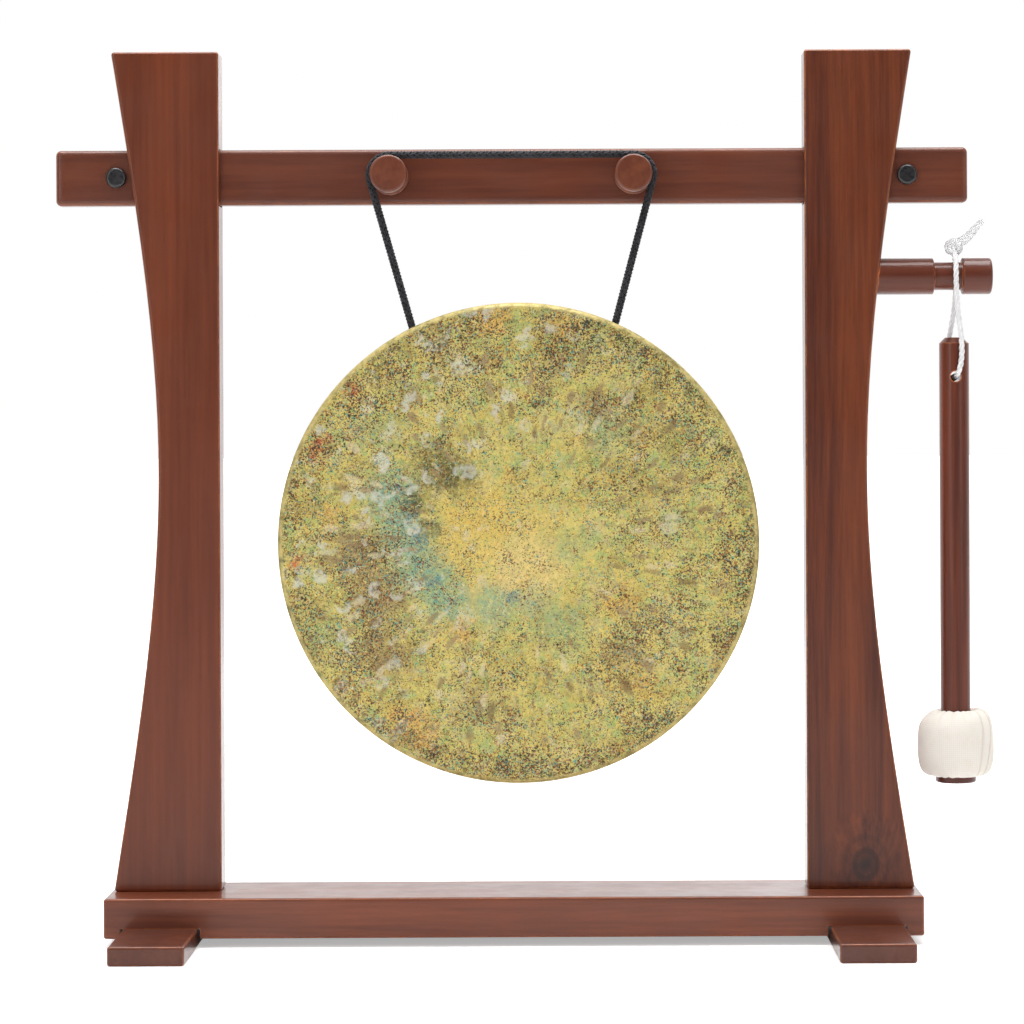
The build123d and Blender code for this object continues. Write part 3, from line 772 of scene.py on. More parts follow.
    @staticmethod
    def specks(
        tree: Tree,
        colour: object,
        flat: object,
        centre: Point,
        size: float,
        cover: object,
        ink: Colour,
        strength: float,
    ) -> bpy.types.NodeSocket:
        """Lays specks of one size and colour over the colour.

        Args:
            tree: The material's tree.
            colour: The colour so far.
            flat: Coordinates in millimetres.
            centre: Shift of the pattern.
            size: Size of a speck.
            cover: Share that is covered.
            ink: Colour of the specks.
            strength: Share of the effect.

        Returns:
            The colour with the specks.
        """
        mask = Shared.SPECKLE.use(tree, Vector=tree.place(flat, centre), Size=size, Cover=cover).outputs["Mask"]
        return tree.mix(tree.times(mask, strength), colour, ink)


@dataclass(frozen=True)
class TwistedFibre:
    """Yarn of a rope, a cord or a wrap, with fine hairs and a soft sheen."""

    name: str
    light: Colour
    dark: Colour
    hair: float = 0.25 * MM
    rough: float = 0.8
    sheen: float = 0.3
    relief: float = 0.08 * MM

    def material(self) -> bpy.types.Material:
        """The yarn as a material.

        Returns:
            The material.
        """
        made, tree, shader, place = start_material(self.name)
        hairs = Shared.FIBRES.use(tree, Vector=place, Size=self.hair)
        shade = tree.plus(
            tree.times(hairs.outputs["Shade"], 0.5),
            tree.times(hairs.outputs["Height"], 0.5),
        )
        tree.feed(shader.inputs["Base Color"], tree.mix(tree.span(shade, 0.36, 0.62), self.dark, self.light))
        tree.feed(
            shader.inputs["Roughness"],
            tree.span(hairs.outputs["Height"], 0.3, 0.7, (self.rough - 0.1, self.rough + 0.1)),
        )
        tree.feed(shader.inputs["Normal"], tree.bump(hairs.outputs["Height"], self.relief, 0.7))
        shader.inputs["Sheen Weight"].default_value = self.sheen
        shader.inputs["Sheen Roughness"].default_value = 0.4
        return made


@dataclass(frozen=True)
class PlainHard:
    """A small hard part: blackened pin, zinc-plated steel or felt, with its own fine marks."""

    name: str
    light: Colour
    dark: Colour
    metallic: float = 0.0
    rough: float = 0.4
    coat: float = 0.0
    size: float = 1.5 * MM

    def material(self) -> bpy.types.Material:
        """The part's finish as a material."""
        made, tree, shader, place = start_material(self.name)
        marks = tree.noise(place, self.size, 4, 0.65)
        colour = tree.mix(tree.span(marks, 0.34, 0.66), self.dark, self.light)
        worn = Shared.EDGE_WEAR.use(tree, Vector=place, Radius=0.5 * MM, Amount=0.4).outputs["Wear"]
        tree.feed(shader.inputs["Base Color"], tree.mix(worn, colour, self.light))
        shader.inputs["Metallic"].default_value = self.metallic
        tree.feed(shader.inputs["Roughness"], tree.span(marks, 0.3, 0.7, (self.rough - 0.06, self.rough + 0.08)))
        tree.feed(shader.inputs["Normal"], tree.bump(marks, 0.03 * MM, 0.5))
        shader.inputs["Coat Weight"].default_value = self.coat
        return made


@dataclass(frozen=True)
class KnittedCotton:
    """Cream cotton knit of the mallet's wrap: ribs round it and stitches up it, read from its own UV map."""

    name: str
    ribs: int
    rows: int

    def material(self) -> bpy.types.Material:
        """The knit as a material.

        Returns:
            The material.
        """
        made, tree, shader, place = start_material(self.name)
        unwrapped = tree.add("UVMap", uv_map="wrap").outputs[0]
        parts = tree.add("SeparateXYZ")
        tree.feed(parts.inputs[0], unwrapped)
        rib = tree.math("SINE", tree.times(parts.outputs[0], math.tau * self.ribs))
        slant = tree.math("ABSOLUTE", rib)
        lift = tree.plus(
            tree.times(parts.outputs[1], math.tau * self.rows), tree.times(slant, 2.2),
        )
        stitch = tree.math("SINE", lift)
        fuzz = Shared.FIBRES.use(tree, Vector=place, Size=0.35 * MM)
        deep = tree.plus(tree.times(stitch, 0.16), tree.times(slant, 0.5))
        deep = tree.plus(deep, tree.times(fuzz.outputs["Height"], 0.5))
        # Painted shade: the knit is darker where its ribs and stitches sink, following the same height as its bump.
        colour = tree.mix(tree.span(deep, -0.1, 0.6), tone(228, 217, 202), tone(243, 237, 228))
        # Painted shade: the knit turns tan in the wrap's creases and in the hollows of its gathered top.
        painted_crease_shade = tree.add("Attribute", attribute_name="painted_crease_shade")
        colour = tree.mix(tree.times(painted_crease_shade.outputs["Fac"], 0.6), colour, tone(206, 182, 150))
        colour = tree.mix(tree.span(fuzz.outputs["Shade"], 0.5, 0.7, (0.0, 0.35)), colour, tone(236, 224, 208))
        tree.feed(shader.inputs["Base Color"], colour)
        shader.inputs["Roughness"].default_value = 0.9
        tree.feed(shader.inputs["Normal"], tree.bump(deep, 0.22 * MM, 0.8))
        shader.inputs["Sheen Weight"].default_value = 0.25
        shader.inputs["Sheen Roughness"].default_value = 0.5
        shader.inputs["Subsurface Weight"].default_value = 0.06
        shader.inputs["Subsurface Scale"].default_value = 2 * MM
        return made


# ---------------------------------------------------------------- mesh tools


def put(mesh: bmesh.types.BMesh, name: str, material: bpy.types.Material, smooth: bool = True) -> bpy.types.Object:
    """Turns a bmesh into an object at the origin with its finish.

    Args:
        mesh: The shape, in metres in the row frame.
        name: The piece's name.
        material: Its finish.
        smooth: Whether its faces shade smoothly.

    Returns:
        The new object, linked to the scene.
    """
    data = bpy.data.meshes.new(name)
    for face in mesh.faces:
        face.smooth = smooth
    mesh.to_mesh(data)
    mesh.free()
    data.materials.append(material)
    piece = bpy.data.objects.new(name, data)
    bpy.context.scene.collection.objects.link(piece)
    LOG.info("%s: %d faces", name, len(data.polygons))
    return piece


def spun(profile: Sequence[tuple[float, float]], steps: int, turn: Matrix) -> bmesh.types.BMesh:
    """A closed shape of revolution from a profile whose ends lie on the axis or meet.

    Args:
        profile: Radius and height of each point, in metres.
        steps: Divisions round the axis.
        turn: Placement of the spun shape, whose axis is Z.

    Returns:
        The shape with its normals outwards.
    """
    mesh = bmesh.new()
    points = [mesh.verts.new((radius, 0, height)) for radius, height in profile]
    edges = [mesh.edges.new(pair) for pair in zip(points, points[1:])]
    bmesh.ops.spin(
        mesh, geom=points + edges, cent=(0, 0, 0), axis=(0, 0, 1), angle=math.tau, steps=steps, use_merge=True
    )
    bmesh.ops.remove_doubles(mesh, verts=mesh.verts[:], dist=1e-6)
    bmesh.ops.recalc_face_normals(mesh, faces=mesh.faces[:])
    bmesh.ops.transform(mesh, matrix=turn, verts=mesh.verts[:])
    return mesh


def dress(name: str, material: bpy.types.Material) -> None:
    """Gives a carried-over CAD node its finish."""
    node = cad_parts[name]
    node.data.materials.clear()
    node.data.materials.append(material)
    LOG.info("%s: dressed in %s", name, material.name)


# ---------------------------------------------------------------- cords


@dataclass(frozen=True)
class Route:
    """A cord's line: given control points, in metres, of one smooth spline."""

    name: str
    points: tuple[Point, ...]
    closed: bool = False

    def line(self) -> np.ndarray:
        """The points that the smooth spline passes through, close together.

        Returns:
            The points, one row each.
        """
        curve = bpy.data.curves.new(self.name + "_line", "CURVE")
        curve.dimensions, curve.resolution_u, curve.render_resolution_u = "3D", 24, 24
        spline = curve.splines.new("NURBS")
        spline.points.add(len(self.points) - 1)
        for point, place in zip(spline.points, self.points):
            point.co = (*place, 1.0)
        spline.order_u = 3
        spline.use_cyclic_u = self.closed
        spline.use_endpoint_u = not self.closed
        guide = bpy.data.objects.new(self.name + "_line", curve)
        bpy.context.scene.collection.objects.link(guide)
        bpy.context.view_layer.update()
        mesh = bpy.data.meshes.new_from_object(guide)
        found = np.array([v.co for v in mesh.vertices], float)
        bpy.data.objects.remove(guide)
        bpy.data.meshes.remove(mesh)
        bpy.data.curves.remove(curve)
        return np.vstack([found, found[:1]]) if self.closed else found


def evenly(line: np.ndarray, step: float) -> np.ndarray:
    """A line's points a given distance apart."""
    reach = np.concatenate([[0], np.cumsum(np.linalg.norm(np.diff(line, axis=0), axis=1))])
    count = max(3, int(round(reach[-1] / step)) + 1)
    wanted = np.linspace(0, reach[-1], count)
    return np.stack([np.interp(wanted, reach, line[:, axis]) for axis in range(3)], axis=1)


def length_of(line: np.ndarray) -> float:
    """A line's length in metres."""
    return float(np.linalg.norm(np.diff(line, axis=0), axis=1).sum())


def frames(line: np.ndarray) -> tuple[np.ndarray, np.ndarray]:
    """Two directions square to the line at each point, carried along it without twist."""
    ahead = np.gradient(line, axis=0)
    ahead /= np.linalg.norm(ahead, axis=1)[:, None]
    side = np.cross(ahead[0], (0.31, 0.88, 0.35))
    side /= np.linalg.norm(side)
    sides = [side]
    for along in ahead[1:]:
        side = sides[-1] - along * (sides[-1] @ along)
        sides.append(side / np.linalg.norm(side))
    first = np.array(sides)
    return first, np.cross(ahead, first)


class Lay(Enum):
    """How a cord's yarns lie together."""

    BRAIDED = "braided"
    TWISTED = "twisted"


@dataclass(frozen=True)
class Cordage:
    """The make of a cord: how its yarns lie, and their sizes in metres."""

    lay: Lay
    strands: int
    yarns: int
    orbit: float
    weave: float
    spread: float
    yarn: float
    pitch: float
    core: float = 0.0

    def offsets(self, along: np.ndarray) -> list[np.ndarray]:
        """Where each yarn's middle lies across the cord.

        Args:
            along: Distance along the cord at each point.

        Returns:
            For each yarn a complex number at each point.
        """
        turn = math.tau * along / self.pitch
        found = []
        for strand in range(self.strands):
            if self.lay is Lay.BRAIDED:
                way = 1 if strand % 2 == 0 else -1
                start = math.tau * (strand // 2) / (self.strands / 2)
                radius = self.orbit + way * self.weave * np.cos(self.strands / 2 * turn)
                for yarn in range(self.yarns):
                    aside = (yarn - (self.yarns - 1) / 2) * self.spread / self.orbit
                    found.append(radius * np.exp(1j * (way * turn + start + aside)))
            else:
                middle = self.orbit * np.exp(1j * (turn + math.tau * strand / self.strands))
                for yarn in range(self.yarns):
                    inner = -2.3 * turn + math.tau * yarn / self.yarns
                    found.append(middle + self.spread * np.exp(1j * inner))
        return found

    def make(
        self,
        name: str,
        line: np.ndarray,
        material: bpy.types.Material,
        step: float,
        taper: Callable[[float], float] | None = None,
    ) -> bpy.types.Object:
        """Lays the yarns along a line and makes them one mesh.

        Args:
            name: The piece's name.
            line: The centreline's points.
            material: The yarn's finish.
            step: Distance between points.
            taper: Radius factor from 0 at the start to 1 at the end, or None.

        Returns:
            The cord as a mesh at the origin.
        """
        middle = evenly(line, step)
        side, up = frames(middle)
        along = np.linspace(0, length_of(middle), len(middle))
        thin = np.ones(len(middle)) if taper is None else np.array([taper(s) for s in along / along[-1]])
        curve = bpy.data.curves.new(name, "CURVE")
        curve.dimensions, curve.bevel_depth, curve.bevel_resolution = "3D", self.yarn, 1
        curve.use_fill_caps, curve.resolution_u = True, 1
        tubes = [(offset, 1.0) for offset in self.offsets(along)]
        if self.core:
            tubes.append((np.zeros(len(middle), complex), self.core / self.yarn))
        for offset, thick in tubes:
            path = middle + side * (offset.real * thin)[:, None] + up * (offset.imag * thin)[:, None]
            spline = curve.splines.new("POLY")
            spline.points.add(len(path) - 1)
            spline.points.foreach_set("co", np.column_stack([path, np.ones(len(path))]).ravel())
            spline.points.foreach_set("radius", (thin * thick).astype(float))
        tube = bpy.data.objects.new(name + "_tubes", curve)
        bpy.context.scene.collection.objects.link(tube)
        bpy.context.view_layer.update()
        data = bpy.data.meshes.new_from_object(tube)
        bpy.data.objects.remove(tube)
        bpy.data.curves.remove(curve)
        data.name = name
        shape = bmesh.new()
        shape.from_mesh(data)
        bmesh.ops.remove_doubles(shape, verts=shape.verts[:], dist=1e-7)
        bmesh.ops.recalc_face_normals(shape, faces=shape.faces[:])
        bpy.data.meshes.remove(data)
        return put(shape, name, material)


BLACK_BRAID = Cordage(
    Lay.BRAIDED, strands=8, yarns=2, orbit=1.40 * MM, weave=0.36 * MM,
    spread=0.72 * MM, yarn=0.44 * MM, pitch=14 * MM, core=0.95 * MM,
)
WHITE_TWIST = Cordage(
    Lay.TWISTED, strands=3, yarns=4, orbit=0.70 * MM, weave=0.0,
    spread=0.30 * MM, yarn=0.52 * MM, pitch=10.5 * MM, core=0.9 * MM,
)


def in_mm(*points: Point) -> tuple[Point, ...]:
    """Points in millimetres as points in metres."""
    return tuple((x * MM, y * MM, z * MM) for x, y, z in points)


@dataclass
class GongRope:
    """The black braid from a knot in the gong's rim, over both pegs, to the other knot."""

    diameter: float = 4.2 * MM
    swing_height: float = 400.857 * MM
    blend_half: float = 3.2 * MM
    knots: tuple[str, str] = ("left", "right")
    route: Route = Route(
        "gong_rope",
        in_mm(
            (-57.5, -11.45, 318.1),
            (-58.8, -11.45, 322.6),
            (-65.7, -11.5, 346.8),
            (-75.7, -11.5, 381.9),
            (-79.63, -11.5, 395.64),
            (-82.55, -11.5, 405.89),
            (-76.13, -11.5, 414.4),
            (-65.47, -11.5, 414.4),
            (-51.1, -11.5, 414.4),
            (-6.5, -11.5, 414.3),
            (38.1, -11.5, 414.4),
            (52.4, -11.5, 414.4),
            (63.07, -11.5, 414.4),
            (69.5, -11.5, 406.04),
            (66.76, -11.5, 395.74),
            (63.07, -11.5, 381.9),
            (54.2, -11.5, 348.6),
            (47.8, -11.55, 324.4),
            (46.6, -11.55, 320.0),
        ),
    )

    def build(self) -> bpy.types.Object:
        """Returns:
            The rope.
        """
        finish = TwistedFibre("black_braid", tone(46, 45, 52), tone(5, 5, 7), 0.5 * MM, 0.6, 0.05).material()
        line = self.route.line()
        rope = BLACK_BRAID.make("rope_braid", line, finish, 0.95 * MM)
        knots = [self.knot(side, finish) for side in self.knots]
        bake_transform(rope)
        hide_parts("rope_over_pegs", "rope_leg_left", "rope_leg_right")
        return rope

    def knot(self, side: str, finish: bpy.types.Material) -> bpy.types.Object:
        """A stopper knot of the same braid behind the rim.

        Args:
            side: left or right.
            finish: The braid's material.

        Returns:
            The knot.
        """
        low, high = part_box("rope_knot_" + side)
        middle = (low + high) / 2
        lean = -0.274 if side == "left" else 0.257
        turns = (
            (0.0, 0.0, 4.6),
            (2.6, 0.4, 3.0),
            (1.7, 2.6, 2.2),
            (-1.6, 2.8, 2.0),
            (-3.0, 0.2, 1.6),
            (-1.7, -2.6, 1.2),
            (1.6, -2.8, 0.8),
            (3.1, -0.1, 0.2),
            (1.7, 2.7, -0.4),
            (-1.6, 2.7, -1.0),
            (-3.0, -0.2, -1.5),
            (-1.5, -2.7, -2.0),
            (1.4, -2.0, -2.6),
            (0.6, 0.4, -3.4),
            (0.1, 0.3, -5.2),
        )
        points = tuple(
            (middle.x + (x - lean * z) * MM, middle.y + y * MM, middle.z + z * MM) for x, y, z in turns
        )
        knot = BLACK_BRAID.make("rope_stopper_" + side, Route("stopper_" + side, points).line(), finish, 0.8 * MM)
        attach(knot, "rope_legs")
        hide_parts("rope_knot_" + side)
        return knot


@dataclass
class MalletCord:
    """The white cord that hangs the mallet from its peg, with its knot and frayed ends."""

    diameter: float = 3 * MM
    route: Route = Route(
        "mallet_loop",
        in_mm(
            (228.9, 3.6, 363.6),
            (228.8, -0.2, 361.2),
            (228.6, -4.4, 358.2),
            (228.5, -5.7, 351.5),
            (228.7, -4.9, 342.0),
            (229.6, -4.6, 330.0),
            (231.4, -4.9, 317.5),
            (231.6, -4.9, 308.0),
            (230.4, -6.0, 301.0),
            (229.3, -2.4, 297.3),
            (228.4, 5.0, 296.2),
            (227.5, 12.4, 294.7),
            (227.0, 16.4, 299.4),
            (226.3, 14.9, 308.0),
            (227.0, 14.7, 317.5),
            (229.6, 14.6, 330.0),
            (230.8, 14.9, 342.0),
            (230.8, 15.7, 351.5),
            (230.5, 14.4, 358.2),
            (229.6, 10.2, 361.2),
            (228.8, 6.4, 363.6),
        ),
    )

    def build(self) -> bpy.types.Object:
        """Returns:
            The loop.
        """
        finish = TwistedFibre(
            "white_cord", tone(246, 246, 246), tone(232, 232, 233), 0.3 * MM, 0.85, 0.1, 0.06 * MM,
        ).material()
        line = self.route.line()
        loop = WHITE_TWIST.make("mallet_cord_loop", line, finish, 0.6 * MM, taper=self.squeezed)
        knot, ends = self.knot(finish), self.ends(finish)
        for piece, node in ((loop, "mallet_cord"), (knot, "mallet_cord_knot"), (ends, "mallet_cord_tail")):
            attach(piece, "mallet_loop")
            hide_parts(node)
        return loop

    @staticmethod
    def squeezed(share: float) -> float:
        """The loop's thickness along it: its yarns swell where they fill the hole of the handle."""
        return 1.0 + 0.32 * math.exp(-(((share - 0.5) / 0.028) ** 2))

    def knot(self, finish: bpy.types.Material) -> bpy.types.Object:
        """The overhand knot of the doubled cord above the peg.

        Args:
            finish: The cord's material.

        Returns:
            The knot.
        """
        low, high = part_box("mallet_cord_knot")
        middle = (low + high) / 2 / MM
        turns = (
            (0.4, -1.4, -3.4),
            (2.6, -2.9, -1.2),
            (1.6, -3.2, 1.8),
            (-1.6, -2.0, 2.9),
            (-3.0, 0.6, 1.2),
            (-2.6, 2.8, -1.2),
            (0.2, 3.1, -2.4),
            (2.9, 1.2, -1.6),
            (2.9, -0.8, 1.2),
            (0.6, 0.4, 3.0),
            (-2.2, 1.8, 2.4),
            (-3.2, -0.6, -0.4),
            (-1.4, -2.9, -1.8),
            (1.2, -1.2, -2.8),
            (2.2, 1.8, -0.4),
            (1.4, 1.2, 2.2),
            (-0.8, -0.8, 2.6),
            (-2.0, -1.8, 0.2),
        )
        points = in_mm(*((middle.x + 1.22 * x, middle.y + y, middle.z + 1.25 * z) for x, y, z in turns))
        tie = WHITE_TWIST.make("tie_strand", Route("tie", points, True).line(), finish, 0.6 * MM)
        shape = bmesh.new()
        shape.from_mesh(tie.data)
        bpy.data.objects.remove(tie)
        heart = Matrix.Translation(middle * MM) @ Matrix.Diagonal((1.1, 1.0, 1.1, 1.0))
        bmesh.ops.create_icosphere(shape, subdivisions=3, radius=2.9 * MM, matrix=heart)
        return put(shape, "mallet_cord_tie", finish)

    def ends(self, finish: bpy.types.Material) -> bpy.types.Object:
        """The cord's two ends side by side, each thinning to a frayed tip.

        Args:
            finish: The cord's material.

        Returns:
            The two ends as one piece.
        """
        made = []
        for name, points in (
            (
                "end_front",
                (
                    (229.6, 3.4, 366.4),
                    (233.4, 3.4, 367.6),
                    (237.0, 3.8, 370.8),
                    (240.6, 4.2, 375.0),
                    (244.6, 4.6, 380.0),
                ),
            ),
            (
                "end_back",
                (
                    (228.6, 5.4, 368.0),
                    (232.3, 5.4, 369.0),
                    (235.9, 5.4, 371.8),
                    (239.7, 5.2, 375.9),
                    (243.6, 5.0, 380.2),
                ),
            ),
        ):
            line = Route(name, in_mm(*points)).line()
            made.append(WHITE_TWIST.make(name, line, finish, 0.6 * MM, taper=lambda share: 1.28 - 0.5 * share**1.3))
        shape = bmesh.new()
        for piece in made:
            shape.from_mesh(piece.data)
            bpy.data.objects.remove(piece)
        return put(shape, "mallet_cord_ends", finish)


# ---------------------------------------------------------------- gong


@dataclass
class Gong:
    """The hammered bronze disc with its turned rim and two rope holes."""

    radius: float = 127 * MM
    wall: float = 1.8 * MM
    rim_depth: float = 16 * MM
    corner: float = 3.2 * MM
    roll: float = 1.0
    steps: int = 300
    rings: int = 92
    hole_angle: float = 25.0
    hole_setback: float = 8 * MM
    hole_radius: float = 3 * MM
    dents: int = 420
    seed: int = 7
    centre: Vector = field(default_factory=lambda: Vector((-3.5 * MM, -13.871 * MM, 208.977 * MM)))

    def placement(self) -> Matrix:
        """Turns the disc's own axes to where it hangs, leaning back with its rope."""
        low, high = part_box("gong_disc")
        lean = math.asin(((high.y - low.y) - self.rim_depth) / (2 * self.radius))
        return (
            Matrix.Translation(self.centre)
            @ Matrix.Rotation(lean, 4, "X")
            @ Matrix.Rotation(-math.radians(self.roll), 4, "Y")
        )

    def profile(self) -> list[tuple[float, float]]:
        """Half the section: out along the face, round the corner, down the rim and back inside.

        Returns:
            Points of the section.
        """
        face = [(self.radius - self.corner) * n / self.rings for n in range(self.rings + 1)]
        points = [(r, 0.0) for r in face]
        bend = [math.radians(90 * n / 8) for n in range(1, 9)]
        edge = self.radius - self.corner
        points += [(edge + self.corner * math.sin(a), -self.corner * (1 - math.cos(a))) for a in bend]
        down = [self.corner + (self.rim_depth - self.corner) * n / 12 for n in range(1, 13)]
        points += [(self.radius, -z) for z in down]
        inner = self.radius - self.wall
        points.append((self.radius - self.wall * 0.5, -self.rim_depth))
        points += [(inner, -z) for z in reversed(down)]
        small = self.corner - self.wall
        points += [(edge + small * math.sin(a), -self.corner + small * math.cos(a)) for a in reversed(bend)]
        points += [(r, -self.wall) for r in reversed(face)]
        return points

    def relief(self, places: np.ndarray) -> np.ndarray:
        """How far hammer blows push the sheet at each place.

        Args:
            places: Distance across and up from the centre, in metres.

        Returns:
            Push along the disc's axis, in metres, negative towards the back.
        """
        rng = random.Random(self.seed)
        push = np.zeros(len(places))
        reach = np.linalg.norm(places, axis=1)
        for _ in range(self.dents):
            out = (0.02 + 0.93 * math.sqrt(rng.random())) * (self.radius - 7 * MM)
            angle = rng.uniform(0, math.tau)
            along = np.array([math.cos(angle), math.sin(angle)])
            across = np.array([-along[1], along[0]])
            gap = places - out * along
            long, short = rng.uniform(5, 10) * MM, rng.uniform(3, 5.5) * MM
            far = ((gap @ along) / long) ** 2 + ((gap @ across) / short) ** 2
            push -= rng.uniform(0.04, 0.16) * MM * np.exp(-far)
        wide = np.array([noise.noise(Vector((x * 28, z * 28, 3.1))) for x, z in places])
        push += 0.28 * MM * wide
        return push * np.clip((self.radius - 4 * MM - reach) / (8 * MM), 0, 1)

    def build(self) -> bpy.types.Object:
        """Spins, hammers and drills the disc.

        Returns:
            The gong.
        """
        to_face = Matrix.Rotation(math.radians(90), 4, "X")
        shape = spun(self.profile(), self.steps, to_face)
        flat = [v for v in shape.verts if Vector((v.co.x, v.co.z)).length < self.radius - self.corner - 1e-5]
        places = np.array([(v.co.x, v.co.z) for v in flat])
        for vertex, push in zip(flat, self.relief(places)):
            vertex.co.y -= push
        bmesh.ops.transform(shape, matrix=self.placement(), verts=shape.verts[:])
        finish = GongPatina("gong_patina", tuple(self.centre), self.radius).material()
        gong = put(shape, "gong_hammered", finish)
        self.drill(gong)
        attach(gong, "gong")
        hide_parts("gong_disc")
        return gong

    def drill(self, gong: bpy.types.Object) -> None:
        """Cuts the two rope holes through the rim."""
        place = self.placement()
        for side in (-1, 1):
            angle = math.radians(side * self.hole_angle)
            out = Vector((math.sin(angle), 0, math.cos(angle)))
            middle = out * (self.radius - self.wall / 2) + Vector((0, self.hole_setback, 0))
            bit = bmesh.new()
            turn = place @ Matrix.Translation(middle) @ out.to_track_quat("Z", "Y").to_matrix().to_4x4()
            bmesh.ops.create_cone(
                bit, cap_ends=True, segments=32, radius1=self.hole_radius,
                radius2=self.hole_radius, depth=8 * MM, matrix=turn,
            )
            drill = put(bit, "drill", gong.data.materials[0])
            cut = gong.modifiers.new("hole", "BOOLEAN")
            cut.operation, cut.solver, cut.object = "DIFFERENCE", "EXACT", drill
            bpy.context.view_layer.update()
            solid = bpy.data.meshes.new_from_object(gong.evaluated_get(bpy.context.evaluated_depsgraph_get()))
            gong.modifiers.remove(cut)
            gong.data = solid
            bpy.data.objects.remove(drill)


# ---------------------------------------------------------------- mallet


